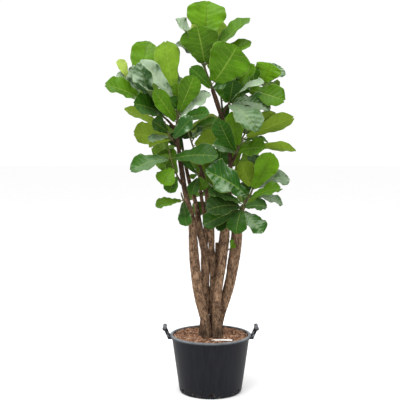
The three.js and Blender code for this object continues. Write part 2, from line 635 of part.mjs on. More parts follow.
/** One leaf as a closed thin loft from inside its twig to its tip. */
function leafSolid(root, tip, listedWidth, azimuth, elevation, arch, number) {
  const width = FULLNESS * listedWidth;
  const length = root.distanceTo(tip);
  const axis = tip.clone().sub(root).normalize();
  const [turn, lift] = [azimuth, elevation].map(THREE.MathUtils.degToRad);
  const facing = v3(Math.sin(turn) * Math.cos(lift), -Math.cos(turn) * Math.cos(lift), Math.sin(lift));
  const normal = facing.addScaledVector(axis, -facing.dot(axis)).normalize();
  const side = normal.clone().cross(axis);
  const cup = width * THREE.MathUtils.lerp(...FOLD, draw(number, 1));
  const wave = width * THREE.MathUtils.lerp(...RIPPLE, draw(number, 2));
  const phase = 2 * Math.PI * draw(number, 3);
  const sweep = length * SWEEP * (draw(number, 4) - 0.5);
  const at = (share, across, off) => {
    const bow = 4 * share * (1 - share);
    const lifted = arch * length * bow + off;
    return root.clone().addScaledVector(axis, share * length)
      .addScaledVector(normal, lifted).addScaledVector(side, across + sweep * bow);
  };
  const section = (share, reach, raise, thick) => [
    at(share, reach, raise[0] + thick), at(share, 0, thick), at(share, -reach, raise[1] + thick),
    at(share, -reach, raise[1] - thick), at(share, 0, -thick - RIB * (1 - share)),
    at(share, reach, raise[0] - thick),
  ];
  const stalk = Math.min(STALK_HALF, width * STALK_OVER_BLADE);
  const rings = [section(0, stalk, [0, 0], STALK_THICKNESS / 2)];
  for (const [along, share] of OUTLINE) {
    const edge = share * (1 + EDGE_SWELL * Math.sin(SWELL_TURNS * along + phase));
    const reach = Math.max((width / 2) * edge, stalk);
    const lifts = [0, 2].map((shift) => (
      cup * share * share + wave * share * Math.sin(RIPPLE_TURNS * along + phase + shift)));
    const place = STALK_SHARE + (1 - STALK_SHARE) * along;
    if (along === 0) rings.push(section(place, reach, [0, 0], STALK_THICKNESS / 2));
    else rings.push(section(place, reach, lifts, BLADE_THICKNESS / 2));
  }
  return loft(rings, [3, 4], 1);
}

/** The place on a route, counted in its points from 0. */
function placeOn(route, count) {
  const first = Math.min(Math.floor(count), route.length - 2);
  const [a, b] = [route[first], route[first + 1]].map(([x, z, y]) => seen(x, z, y));
  return a.lerp(b, count - first);
}

/** The solids of one shoot: its twig, then its leaves. */
function shootSolids(shoot) {
  const { route, leaves } = shoot;
  const first = Object.values(SHOOTS).indexOf(shoot) * LEAVES_AT_MOST;
  const blades = leaves.map(([place, x, z, y, width, azimuth, elevation, arch], i) => (
    leafSolid(placeOn(route, place), seen(x, z, y), width, azimuth, elevation, arch, first + i)));
  return [rod(route, TWIG_SIDES), ...blades];
}

/** One shoot as one solid, cut clear of the woody end that it grows from. */
function shootSolid(shoot) {
  return joined(shootSolids(shoot)).subtract(stemSolid(STEMS[shoot.from], WIDE_GAP));
}

// ---------------------------------------------------------------- the plant

const MATERIALS = {
  pot: { color: 0x2d2e32, roughness: 0.55 },
  soil: { color: 0x8a6248, roughness: 1 },
  bark: { color: 0x7a6150, roughness: 0.9 },
  leaf: { color: 0x3f7a22, roughness: 0.4 },
  label: { color: 0xf2f2f0, roughness: 0.5 },
};

const plant = new THREE.Group();

function addPiece(name, geometry, look) {
  const material = new THREE.MeshStandardMaterial({ metalness: 0, ...MATERIALS[look] });
  const mesh = new THREE.Mesh(geometry, material);
  mesh.name = name;
  plant.add(mesh);
}

addPiece('pot', potGeometry(), 'pot');
addPiece('soil', soilGeometry(), 'soil');
addPiece('plant_label', labelMesh(), 'label');
for (const [name, stem] of Object.entries(STEMS)) addPiece(name, geometryOf(stemSolid(stem)), 'bark');
for (const [name, shoot] of Object.entries(SHOOTS)) addPiece(name, geometryOf(shootSolid(shoot)), 'leaf');

export default plant;
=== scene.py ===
import math
import random

import bmesh
import bpy
import numpy as np
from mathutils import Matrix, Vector, noise


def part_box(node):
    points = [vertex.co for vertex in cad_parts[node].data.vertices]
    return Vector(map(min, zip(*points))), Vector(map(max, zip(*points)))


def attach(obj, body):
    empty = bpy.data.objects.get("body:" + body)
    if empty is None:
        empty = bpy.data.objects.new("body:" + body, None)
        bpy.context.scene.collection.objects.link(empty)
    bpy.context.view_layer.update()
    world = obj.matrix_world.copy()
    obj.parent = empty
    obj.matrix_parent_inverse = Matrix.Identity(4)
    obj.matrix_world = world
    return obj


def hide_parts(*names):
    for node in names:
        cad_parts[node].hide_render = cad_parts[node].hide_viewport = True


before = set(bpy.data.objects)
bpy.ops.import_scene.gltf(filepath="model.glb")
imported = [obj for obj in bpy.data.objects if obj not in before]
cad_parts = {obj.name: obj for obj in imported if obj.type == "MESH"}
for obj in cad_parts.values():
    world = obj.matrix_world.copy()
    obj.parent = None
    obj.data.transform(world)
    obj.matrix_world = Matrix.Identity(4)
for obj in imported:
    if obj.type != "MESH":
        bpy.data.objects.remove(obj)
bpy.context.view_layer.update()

# Lengths are in millimetres until a mesh is made, which holds metres.
MM = 0.001

# ---------------- leaf colours
# Each look: the upper side's and the underside's colour (sRGB, 0 to 255), how pale the veins are
# (below 0 they are dark), and how much painted sheen the upper side gets: a pale painted highlight
# in patches where it faces up.

LOOKS = {
    # the first, bright look paints light shining through the leaf into its colour: paler yellow-green
    # with dark veins
    "BRIGHT": ((78, 118, 8), (96, 124, 30), -0.45, 0.03),
    "LIME": ((102, 136, 30), (104, 132, 42), 0.20, 0.05),
    "FRESH": ((66, 106, 6), (88, 116, 28), 0.42, 0.04),
    "MID": ((50, 94, 5), (76, 106, 24), 0.35, 0.06),
    "DARK": ((34, 76, 7), (64, 92, 24), 0.35, 0.07),
    # the deep look is a darker green that also paints the shade deep inside the crown
    "DEEP": ((24, 54, 6), (52, 76, 18), 0.28, 0.03),
    "WAXY": ((42, 88, 14), (78, 106, 32), 0.32, 0.32),
    "GREY": ((36, 76, 18), (78, 104, 40), 0.30, 0.55),
    "SHEEN": ((42, 78, 26), (88, 112, 52), 0.25, 0.85),
    "TEAL": ((40, 84, 28), (84, 112, 50), 0.30, 0.92),
    # the look with a sheen of 1.00 has its painted highlight even where the upper side faces sideways
    "FROST": ((52, 88, 46), (96, 120, 70), 0.25, 1.00),
    "GLOSS": ((30, 78, 12), (76, 102, 36), 0.45, 0.70),
    "OLIVE": ((70, 106, 18), (104, 130, 34), 0.30, 0.03),
    "PALE": ((142, 164, 70), (150, 168, 84), 0.20, 0.0),
}

# ---------------- stems: (x, z, depth, radius)
# x and z are as they appear on the plane y = 0 from the eye point EYE, and the depth is y.
# The first row of a stem is its trunk from the foot upwards, and the others are its branches.

EYE = (-65.6, -4800.0, 1510.0)
PLANT_SHIFT = -4.6  # where the listed x = 0 lies, from the pot's axis
STEM_FOOT = 225  # the stems' lower ends, straight below their listed first points
SOIL_LINE = 358

STEMS = {}

STEMS["stem_a"] = [
    ((-18, SOIL_LINE, -67, 30), (-31, 440, -62, 28), (-68, 600, -47, 31),
     (-94, 800, -28, 30), (-107, 1000, -20, 23.5), (-115, 1090, -12, 20), (-145, 1200, -5, 16),
     (-160, 1280, 0, 15), (-173, 1370, 0, 15), (-185, 1450, 0, 13.5), (-195, 1530, 0, 10.5),
     (-206, 1620, 0, 9)),
    ((-120, 1100, -14, 9.5), (-146, 1150, -42, 8), (-158, 1176, -56, 7)),
    ((-153, 1262, 0, 10), (-178, 1290, -20, 8), (-196, 1322, -34, 7)),
    ((-190, 1512, 0, 8), (-212, 1532, -16, 7), (-226, 1548, -28, 6.5)),
    ((-203, 1600, 0, 9), (-232, 1642, 14, 8), (-262, 1674, 22, 7.5)),
]

STEMS["stem_b"] = [
    ((-46, SOIL_LINE, -9, 24), (-29, 500, 5, 25), (-28, 700, 25, 26),
     (-28, 800, 33, 26.5), (-31, 870, 34, 24.5), (-56, 975, 38, 23), (-70, 1050, 55, 20),
     (-84, 1150, 88, 14), (-122, 1280, 132, 11.5), (-150, 1400, 168, 10.5), (-164, 1480, 186, 10)),
    ((-30, 900, 36, 17), (-24, 960, 42, 16), (-26, 1029, 50, 15), (-38, 1120, 60, 13),
     (-52, 1200, 70, 11), (-60, 1290, 84, 9), (-58, 1360, 100, 7.5)),
]

STEMS["stem_c"] = [
    ((16, SOIL_LINE, -5, 20), (16, 500, 4, 20), (19, 700, 19, 20),
     (17, 800, 24, 19), (9, 900, 18, 19), (6, 1000, 14, 21), (-8, 1110, 18, 16),
     (-22, 1230, 28, 12), (-40, 1330, 34, 9), (-62, 1400, 36, 7.5)),
    ((4, 1060, 14, 11), (24, 1120, 48, 9), (34, 1166, 78, 8)),
    ((-26, 1250, 30, 8), (-50, 1292, 10, 6), (-66, 1322, -4, 5.5)),
]

STEMS["stem_d"] = [
    ((44, SOIL_LINE, -69, 30), (42, 440, -64, 28), (48, 600, -49, 25),
     (64, 720, -38, 25.5), (79, 820, -30, 25), (93, 950, -28, 26), (104, 1080, -22, 22),
     (116, 1220, -10, 17), (124, 1400, 5, 14), (116, 1520, 10, 12), (98, 1610, 8, 11),
     (67, 1700, 0, 11.5), (41, 1780, -4, 13.5), (15, 1856, -6, 11.5)),
    ((124, 1400, 5, 10), (146, 1436, -2, 9), (158, 1462, -8, 8.5)),
    ((70, 1692, 0, 9), (92, 1730, 22, 8), (108, 1760, 40, 7.5)),
    ((100, 1600, 8, 9), (84, 1650, 70, 8), (78, 1690, 112, 7.5)),
]

STEMS["stem_e"] = [
    ((-2, SOIL_LINE, 35, 18), (20, 500, 48, 18), (38, 700, 63, 17.5),
     (46, 820, 68, 17), (50, 921, 66, 16.5)),
    ((54, 900, 68, 7), (60, 935, 70, 6), (68, 1000, 84, 6), (84, 1110, 122, 6), (104, 1200, 160, 6)),
]

STEMS["stem_f"] = [
    ((61, SOIL_LINE, -17, 22), (64, 440, -14, 21), (103, 590, -4, 30),
     (128, 700, 1, 33), (145, 800, 4, 36), (160, 900, 0, 35), (167, 1000, -6, 31),
     (182, 1080, -12, 20), (204, 1150, -16, 14)),
    ((180, 1066, -14, 12), (188, 1098, -46, 9), (194, 1122, -72, 8)),
]

# ---------------- shoots
# A shoot is (route, leaves). The route is (x, z, depth, radius) from the woody end outwards.
# A leaf is (place on the route, tip x, tip z, tip depth, width, facing azimuth, facing elevation,
# arch, look). The place counts the route's points from 0. The facing is where the upper side looks:
# azimuth 0 is the front and 90 is +X. The arch is the rise of the rib in hundredths of the length.

SHOOTS = {}

SHOOTS["top_shoot"] = ((15, 1856, -6, 9), (-2, 1905, -10, 8.5), (-25, 1960, -14, 8), (-38, 2020, -8, 6),
    (-44, 2080, 0, 5), (-44, 2130, 6, 4)), (
    (4, -20, 2388, 70, 213, 0, 8, 5, "BRIGHT"), (3.3, 240, 2288, 70, 132, -30, 56, 0, "FRESH"),
    (2.7, 250, 2146, 30, 96, -10, 40, 0, "BRIGHT"), (2.6, -80, 2238, -110, 200, -8, 16, 8, "FRESH"),
    (0.5, 164, 2120, -150, 232, 14, 12, 6, "FRESH"), (3.4, -208, 2284, -80, 136, 30, 58, 0, "FROST"),
    (3, -206, 2138, 0, 104, -20, 62, 6, "GREY"), (0.12, -122, 1992, -70, 84, -20, 22, 5, "MID"),
    (4.9, -112, 2246, -60, 40, 10, 10, 3, "PALE"), (2.6, 96, 2150, 250, 170, 160, 34, 8, "MID"),
    (2.2, -60, 2190, 260, 170, 200, 34, 8, "MID"), (4.7, 40, 2290, 230, 160, 165, 24, 6, "FRESH"),
    (0.2, 98, 1889, -60, 60, 0, 20, 6, "GREY"),
)

SHOOTS["right_upper_shoot"] = ((108, 1760, 40, 6.5), (140, 1806, 56, 6), (190, 1850, 70, 5.5),
    (256, 1874, 80, 5), (316, 1886, 86, 4)), (
    (1.6, 276, 2002, -60, 122, -14, 36, 8, "FRESH"), (4, 368, 2014, 60, 148, 0, 10, 5, "BRIGHT"),
    (3.6, 438, 1990, 150, 112, 20, 40, 6, "SHEEN"), (0.4, 330, 1898, -200, 86, 0, 46, 8, "TEAL"),
    (0.95, 222, 1892, 70, 112, 0, 30, 8, "DARK"), (2.4, 456, 1786, -30, 134, 4, 22, 6, "FRESH"),
    (0.3, 370, 1736, -20, 125, 6, 40, 12, "SHEEN"), (0.15, 290, 1600, -235, 150, 8, 34, 12, "GREY"),
    (2.2, 250, 1960, 300, 150, 170, 40, 8, "MID"), (3, 380, 1860, 310, 150, 150, 50, 10, "MID"),
    (0.2, 140, 1916, -20, 120, 0, 14, 5, "DARK"), (0.1, 84, 1896, 110, 130, 0, 20, 6, "MID"),
    (0.3, 210, 1836, 150, 120, 0, 20, 6, "FRESH"), (0.3, 84, 1690, 90, 60, 0, 20, 5, "DARK"),
    (3.2, 262, 1990, 40, 76, 0, 14, 5, "MID"),
)

SHOOTS["right_middle_shoot"] = ((158, 1462, -8, 7.5), (172, 1500, -14, 7), (190, 1550, -10, 6),
    (212, 1590, 0, 5), (226, 1620, 8, 4)), (
    (0.9, 134, 1726, -70, 116, 16, 8, 6, "BRIGHT"), (0.15, 50, 1682, -175, 108, -24, 8, 6, "DARK"),
    (0.25, 18, 1526, -100, 84, -10, 30, 8, "GREY"), (0.5, 336, 1502, -170, 118, 4, 30, 8, "FRESH"),
    (0.8, 528, 1486, -20, 88, 178, 56, 5, "OLIVE"), (2, 360, 1536, 70, 70, 10, 60, 5, "MID"),
    (2.1, 514, 1688, -30, 104, 172, 32, 5, "OLIVE"), (2.6, 300, 1620, 240, 140, 150, 40, 10, "MID"),
    (1.6, 200, 1500, 260, 140, 170, 46, 10, "MID"), (3.6, 230, 1770, 130, 130, 150, 20, 5, "MID"),
    (3, 404, 1714, -8, 74, 172, 32, 5, "OLIVE"),
)

SHOOTS["right_lower_shoot"] = ((204, 1150, -16, 9), (226, 1184, -20, 8), (246, 1216, -22, 7),
    (262, 1256, -16, 6), (276, 1300, -6, 5), (288, 1340, 4, 4)), (
    (2.5, 381, 1474, -70, 130, 10, 8, 5, "BRIGHT"), (1.5, -30, 1362, -210, 188, -6, 36, 10, "GLOSS"),
    (3, 186, 1420, 20, 116, 176, 10, 5, "OLIVE"), (4.4, 276, 1462, 130, 90, 0, 20, 5, "DARK"),
    (3.4, 485, 1320, 50, 128, 0, 46, 10, "GREY"), (1.2, 434, 1258, -140, 94, -40, 46, 5, "FRESH"),
    (1.8, 448, 1158, -10, 92, 10, 60, 10, "GREY"), (3.8, 330, 1390, 220, 130, 160, 40, 8, "MID"),
    (2.8, 410, 1230, 190, 120, 130, 55, 10, "MID"), (0.3, 228, 1300, 100, 70, 0, 40, 6, "MID"),
)

SHOOTS["right_bottom_shoot"] = ((194, 1122, -72, 7), (199, 1136, -92, 6.5), (204, 1152, -110, 5.5),
    (208, 1168, -124, 4)), (
    (1, 352, 1144, -110, 110, 10, 58, 8, "DARK"), (0.25, 326, 980, -170, 108, 10, 40, 6, "GREY"),
    (0.8, 160, 974, -190, 112, -12, 44, 10, "DARK"), (0.25, -44, 1028, -150, 110, -10, 35, 6, "DARK"),
    (1.4, -26, 1120, -230, 138, -6, 34, 10, "DEEP"), (2.2, -12, 1236, -180, 100, -8, 56, 6, "DARK"),
    (0.3, -40, 1020, -60, 100, -10, 40, 6, "DEEP"), (0.4, 40, 1000, -110, 84, -5, 40, 8, "DEEP"),
)

SHOOTS["left_upper_shoot"] = ((-206, 1620, 0, 8), (-198, 1670, -8, 7.5), (-192, 1720, -10, 7),
    (-198, 1770, 2, 6), (-214, 1820, 18, 5), (-224, 1860, 28, 4)), (
    (3.6, -270, 2150, 60, 139, -4, 8, 5, "LIME"), (1.6, -92, 1944, -80, 118, 6, 2, 5, "FRESH"),
    (2.9, -206, 1894, -10, 80, -14, 10, 6, "BRIGHT"), (1.2, 6, 1832, -40, 116, 20, 54, 5, "TEAL"),
    (0.6, -344, 1856, -150, 96, 12, 16, 6, "FRESH"), (2.3, -250, 1810, -50, 70, -10, 20, 6, "DARK"),
    (1, -2, 1712, -130, 92, 8, 32, 6, "DARK"), (4.2, -152, 1884, 250, 150, 150, 30, 8, "MID"),
    (3.2, -262, 1830, 280, 124, 200, 40, 10, "MID"), (3.2, -421, 2035, -60, 96, -20, 40, 6, "FROST"),
    (1.1, -350, 1772, 190, 96, 0, 20, 6, "MID"),
)

SHOOTS["left_far_shoot"] = ((-262, 1674, 22, 6.5), (-310, 1714, 26, 6), (-370, 1756, 22, 6),
    (-430, 1804, 12, 5.5), (-476, 1858, 4, 5), (-498, 1914, 0, 4)), (
    (3.4, -376, 2150, 150, 156, 0, 8, 5, "BRIGHT"), (4.9, -552, 2040, 0, 60, 20, 20, 10, "PALE"),
    (3.6, -560, 1960, -10, 74, -30, 52, 6, "FROST"), (3.2, -462, 2006, -40, 72, -34, 12, 5, "FROST"),
    (1.4, -432, 2022, -120, 108, -24, 34, 6, "FROST"), (0.8, -430, 1892, -180, 84, -12, 50, 6, "FROST"),
    (2, -642, 1886, -110, 142, -6, 44, 8, "FRESH"), (0.3, -466, 1770, -150, 146, -8, 30, 8, "DARK"),
    (1.3, -338, 1800, -20, 70, 0, 14, 5, "DEEP"), (1.8, -404, 1960, 350, 126, 190, 30, 8, "MID"),
    (3.1, -520, 1850, 240, 116, 210, 45, 10, "MID"),
)

SHOOTS["left_middle_shoot"] = ((-226, 1548, -28, 5.5), (-244, 1572, -40, 5.5), (-260, 1604, -44, 5),
    (-270, 1640, -40, 4)), (
    (1.7, -524, 1742, -60, 96, 178, 58, 5, "OLIVE"), (0.3, -106, 1690, -160, 86, 20, 26, 8, "TEAL"),
    (0.3, -467, 1592, 50, 146, 176, 30, 6, "OLIVE"), (0.2, -374, 1506, -20, 76, 180, 66, 5, "OLIVE"),
    (1.6, -353, 1666, -130, 94, -10, 30, 8, "DEEP"), (0.9, -376, 1546, -120, 70, -10, 48, 6, "GREY"),
)

SHOOTS["left_lower_shoot"] = ((-196, 1322, -34, 6), (-212, 1362, -40, 5.5), (-228, 1402, -44, 5),
    (-240, 1444, -44, 4.5), (-246, 1472, -42, 4)), (
    (2.8, -488, 1362, -150, 118, -6, 42, 14, "WAXY"), (3.8, -322, 1384, -20, 96, 0, 24, 10, "OLIVE"),
    (1.6, -290, 1276, -110, 112, -6, 12, 8, "BRIGHT"), (0.3, -250, 1226, -90, 84, -14, 28, 8, "MID"),
    (2.8, 52, 1450, -190, 132, 2, 34, 6, "DARK"), (3.9, -330, 1560, 100, 100, 170, 30, 8, "MID"),
    (0.15, -290, 1490, 40, 120, 0, 20, 8, "OLIVE"),
)

SHOOTS["left_bottom_shoot"] = ((-158, 1176, -56, 6), (-164, 1188, -64, 5.5), (-170, 1204, -70, 4.5)), (
    (0.5, -336, 1148, -80, 92, -4, 58, 5, "BRIGHT"), (0.4, -150, 1084, -110, 50, -30, 30, 8, "DEEP"),
    (0.8, -142, 1022, -96, 78, -20, 20, 6, "GREY"),
)

SHOOTS["centre_shoot"] = ((-62, 1400, 36, 6.5), (-86, 1462, 34, 6), (-108, 1524, 24, 5.5),
    (-126, 1580, 14, 5), (-138, 1636, 8, 4)), (
    (2.6, -44, 1604, -100, 74, 0, 36, 6, "GREY"), (1.8, 44, 1580, -20, 104, 176, 28, 6, "OLIVE"),
    (3.4, 58, 1668, -30, 64, 4, 50, 6, "MID"), (3.7, 50, 1690, 60, 62, 10, 40, 6, "PALE"),
    (2.2, 40, 1640, 250, 140, 170, 36, 10, "MID"),
)

SHOOTS["inner_shoot"] = ((-66, 1322, -4, 4.5), (-72, 1334, -10, 4.5), (-80, 1350, -16, 4)), (
    (1.4, -172, 1426, -50, 50, -10, 44, 5, "DARK"), (0.4, -112, 1214, -80, 66, -10, 16, 8, "DARK"),
    (0.8, -36, 1244, -30, 70, 10, 12, 8, "OLIVE"), (1.5, -120, 1318, -30, 34, 0, 30, 5, "OLIVE"),
)

SHOOTS["rear_left_shoot"] = ((-164, 1480, 186, 8.5), (-172, 1540, 200, 8), (-184, 1610, 214, 7),
    (-196, 1680, 226, 6), (-204, 1740, 234, 4.5)), (
    (0.6, -330, 1440, 330, 140, 215, 48, 10, "MID"), (0.1, -90, 1370, 390, 140, 170, 46, 12, "DARK"),
    (1.6, -350, 1600, 350, 140, 205, 40, 10, "MID"), (1.9, -60, 1590, 400, 140, 165, 44, 10, "FRESH"),
    (2.4, -300, 1530, 440, 140, 190, 52, 12, "MID"), (2.9, -330, 1780, 380, 150, 205, 34, 8, "FRESH"),
    (3.2, -140, 1790, 390, 150, 165, 34, 8, "MID"), (3.8, -210, 1944, 330, 150, 185, 14, 5, "FRESH"),
    (0.1, -240, 1590, 170, 90, 10, 20, 5, "DEEP"), (1.3, -112, 1600, 228, 80, 0, 20, 5, "DEEP"),
)

SHOOTS["rear_upper_shoot"] = ((78, 1690, 112, 6.5), (74, 1740, 140, 6.5), (68, 1800, 164, 6),
    (64, 1860, 184, 5), (62, 1910, 196, 4)), (
    (0.6, 90, 1560, 380, 140, 175, 48, 12, "MID"), (1.8, 250, 1730, 360, 140, 150, 42, 10, "DARK"),
    (2.6, 0, 1860, 420, 150, 190, 38, 8, "FRESH"), (3.2, 190, 1930, 400, 150, 160, 30, 8, "MID"),
    (3.7, 60, 2060, 330, 140, 180, 16, 5, "FRESH"),
)

SHOOTS["rear_right_shoot"] = ((104, 1200, 160, 5.5), (124, 1260, 184, 5.5), (144, 1320, 204, 5),
    (160, 1380, 220, 4.5)), (
    (0.5, 260, 1130, 330, 130, 150, 50, 12, "MID"), (0.8, -20, 1200, 330, 130, 200, 46, 12, "DARK"),
    (1.4, 330, 1310, 380, 140, 145, 42, 10, "MID"), (1.7, 70, 1360, 440, 140, 190, 42, 10, "FRESH"),
    (2.3, 300, 1460, 360, 140, 150, 34, 8, "MID"), (2.8, 130, 1600, 310, 130, 180, 16, 5, "FRESH"),
)

SHOOTS["rear_lower_shoot"] = ((34, 1166, 78, 7), (38, 1200, 100, 6.5), (40, 1240, 124, 6),
    (40, 1280, 142, 4.5)), (
    (0.5, 30, 1040, 280, 120, 180, 44, 12, "MID"), (1.2, -150, 1180, 290, 130, 205, 46, 10, "DARK"),
    (1.8, 10, 1290, 370, 130, 185, 40, 10, "MID"), (2.6, -60, 1420, 260, 120, 190, 20, 6, "MID"),
    (2.9, 66, 1506, 190, 110, 0, 20, 6, "DARK"), (0.2, -108, 1112, 130, 84, 0, 20, 5, "OLIVE"),
)

SHOOTS["stem_sprout"] = ((98, 868, -32, 3.2), (121, 882, -38, 3), (130, 896, -40, 2.5)), (
    (1, 160, 908, -46, 26, 0, 40, 5, "BRIGHT"), (1.6, 138, 944, -52, 24, 0, 10, 5, "FRESH"),
)

# ---------------- helpers


def seen(x, z, y):
    """A place seen at (x, z) on the plane y = 0, pushed along its sight line to depth y."""
    reach = (y - EYE[1]) / -EYE[1]
    return np.array([EYE[0] + (x + PLANT_SHIFT - EYE[0]) * reach, y, EYE[2] + (z - EYE[2]) * reach])


def draw(number, purpose):
    """A repeatable draw from 0 to 1 for a leaf's number and a purpose."""
    swing = math.sin(number * 12.9898 + purpose * 78.233) * 43758.5453
    return swing - math.floor(swing)


def turns(sides):
    """The angles of evenly spaced points round a ring."""
    return np.arange(sides) / sides * 2 * math.pi


def unit(vector):
    return vector / np.linalg.norm(vector)


def smoothstep(low, high, value):
    """0 below low, 1 above high and a smooth rise between."""
    share = np.clip((value - low) / (high - low), 0, 1)
    return share * share * (3 - 2 * share)


def linear(colour):
    """An sRGB colour of 0 to 255 as linear red, green, blue and 1."""
    return tuple(((c / 255 + 0.055) / 1.055) ** 2.4 for c in colour) + (1.0,)


def smooth_path(rows, step):
    """Rows of numbers run through by a smooth curve, one new row about every step of its length."""
    rows = np.array(rows, float)
    padded = np.vstack([2 * rows[0] - rows[1], rows, 2 * rows[-1] - rows[-2]])

    def tangent(before, after, length):
        return (after - before) * length / max(np.linalg.norm((after - before)[:3]), 1e-6)

    out = []
    for i in range(1, len(padded) - 2):
        a, b, c, d = padded[i - 1:i + 3]
        length = np.linalg.norm((c - b)[:3])
        count = max(1, int(round(length / step)))
        slope_b, slope_c = tangent(a, c, length), tangent(b, d, length)
        for k in range(count):
            s = k / count
            out.append((2 * s**3 - 3 * s**2 + 1) * b + (s**3 - 2 * s**2 + s) * slope_b
                       + (3 * s**2 - 2 * s**3) * c + (s**3 - s**2) * slope_c)
    out.append(rows[-1])
    return np.array(out)


def smooth_table(knots, samples=200):
    """A function through knots of (place, value), smooth between them."""
    rows = [(place, value, 0) for place, value in knots]
    dense = smooth_path(rows, (knots[-1][0] - knots[0][0]) / samples)
    return lambda place: np.interp(place, dense[:, 0], dense[:, 1])


class Piece:
    """Points, faces and per-point data gathered for one mesh."""

    def __init__(self, name):
        self.name = name
        self.points, self.faces, self.slots, self.flat = [], [], [], []
        self.data = {}
        self.count = 0

    def add(self, points, faces, slot=0, flat=False, **data):
        """Take in points and faces, with a slot for all or one each, and the points' data."""
        points = np.asarray(points, float).reshape(-1, 3)
        slots = slot if isinstance(slot, list) else [slot] * len(faces)
        self.points.append(points)
        self.faces += [tuple(int(i) + self.count for i in face) for face in faces]
        self.slots += slots
        self.flat += [flat] * len(faces)
        for key in set(data) | set(self.data):
            width = len(np.atleast_2d(data[key])[0]) if key in data else self.data[key][0].shape[1]
            if key not in self.data:
                self.data[key] = [np.zeros((self.count, width))] if self.count else []
            value = data.get(key, np.zeros(width))
            self.data[key].append(np.broadcast_to(value, (len(points), width)))
        self.count += len(points)

    def build(self, *materials):
        """The finished object, with the materials in the order of the slots."""
        mesh = bpy.data.meshes.new(self.name)
        mesh.from_pydata((np.vstack(self.points) * MM).tolist(), [], self.faces)
        for material in materials:
            mesh.materials.append(material)
        mesh.polygons.foreach_set("material_index", self.slots)
        mesh.polygons.foreach_set("use_smooth", [not flat for flat in self.flat])
        for key, parts in self.data.items():
            values = np.vstack(parts)
            kind = "FLOAT_COLOR" if values.shape[1] == 4 else "FLOAT_VECTOR"
            layer = mesh.attributes.new(key, kind, "POINT")
            layer.data.foreach_set("color" if kind == "FLOAT_COLOR" else "vector", values.ravel())
        mesh.update()
        thing = bpy.data.objects.new(self.name, mesh)
        bpy.context.scene.collection.objects.link(thing)
        return thing


def place_piece(thing, node):
    """Hand a visible object over: its body and the node it stands for."""
    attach(thing, "root")
    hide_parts(node)


def limb_line(rows, step):
    """The smooth middle line of listed (x, z, depth, radius) rows, and the radii along it."""
    line = smooth_path([(*seen(x, z, y), radius) for x, z, y, radius in rows], step)
    return line[:, :3], line[:, 3]


def frames_along(path):
    """Two cross directions at each point of a path, which turn as little as they can."""
    along = np.gradient(path, axis=0)
    along /= np.linalg.norm(along, axis=1)[:, None]
    across = np.array([0.0, 1.0, 0.0])
    if abs(along[0] @ across) > 0.9:
        across = np.array([1.0, 0.0, 0.0])
    first, second = [], []
    for heading in along:
        across = unit(across - heading * (across @ heading))
        first.append(across)
        second.append(np.cross(heading, across))
    return np.array(first), np.array(second)


def ring_faces(lower, upper, sides):
    """Faces between two rings of points, given by their first points' numbers."""
    return [(lower + j, lower + (j + 1) % sides, upper + (j + 1) % sides, upper + j)
            for j in range(sides)]


def tube_faces(rings, sides):
    """Faces of a closed tube of rings, with its two ends."""
    faces = []
    for i in range(rings - 1):
        faces += ring_faces(i * sides, (i + 1) * sides, sides)
    faces.append(tuple(range(sides - 1, -1, -1)))
    faces.append(tuple((rings - 1) * sides + j for j in range(sides)))
    return faces


def sheet_faces(rows, columns):
    """Faces and slots of two sheets of points, the first on top, and of the border between them."""
    size = rows * columns
    faces, slots = [], []
    for i in range(rows - 1):
        for j in range(columns - 1):
            a = i * columns + j
            faces.append((a, a + columns, a + columns + 1, a + 1))
            faces.append((a + size, a + 1 + size, a + columns + 1 + size, a + columns + size))
            slots += [0, 1]
    border = [*range(columns)] + [i * columns + columns - 1 for i in range(1, rows)]
    border += [(rows - 1) * columns + j for j in range(columns - 2, -1, -1)]
    border += [i * columns for i in range(rows - 2, 0, -1)]
    for a, b in zip(border, border[1:] + border[:1]):
        faces.append((a, b, b + size, a + size))
        slots.append(0)
    return faces, slots


def revolve(outline, sides):
    """Points of an outline of (radius, height) turned round the upright axis."""
    return [(r * math.cos(t), r * math.sin(t), z) for r, z in outline for t in turns(sides)]


def tube(path, radii, sides, shape=None):
    """Points of a tube of rings round a path. The shape gives each point's extra radius."""
    across, beside = frames_along(path)
    turn = turns(sides)
    reach = np.broadcast_to(np.asarray(radii, float)[:, None], (len(path), sides)).copy()
    if shape is not None:
        reach += shape
    return (path[:, None, :] + reach[..., None] * (
        np.cos(turn)[None, :, None] * across[:, None, :]
        + np.sin(turn)[None, :, None] * beside[:, None, :])).reshape(-1, 3)


# ---------------- node materials

COLOUR_INPUTS, COLOUR_OUTPUT = (6, 7), 2  # the colour sockets of a mix node


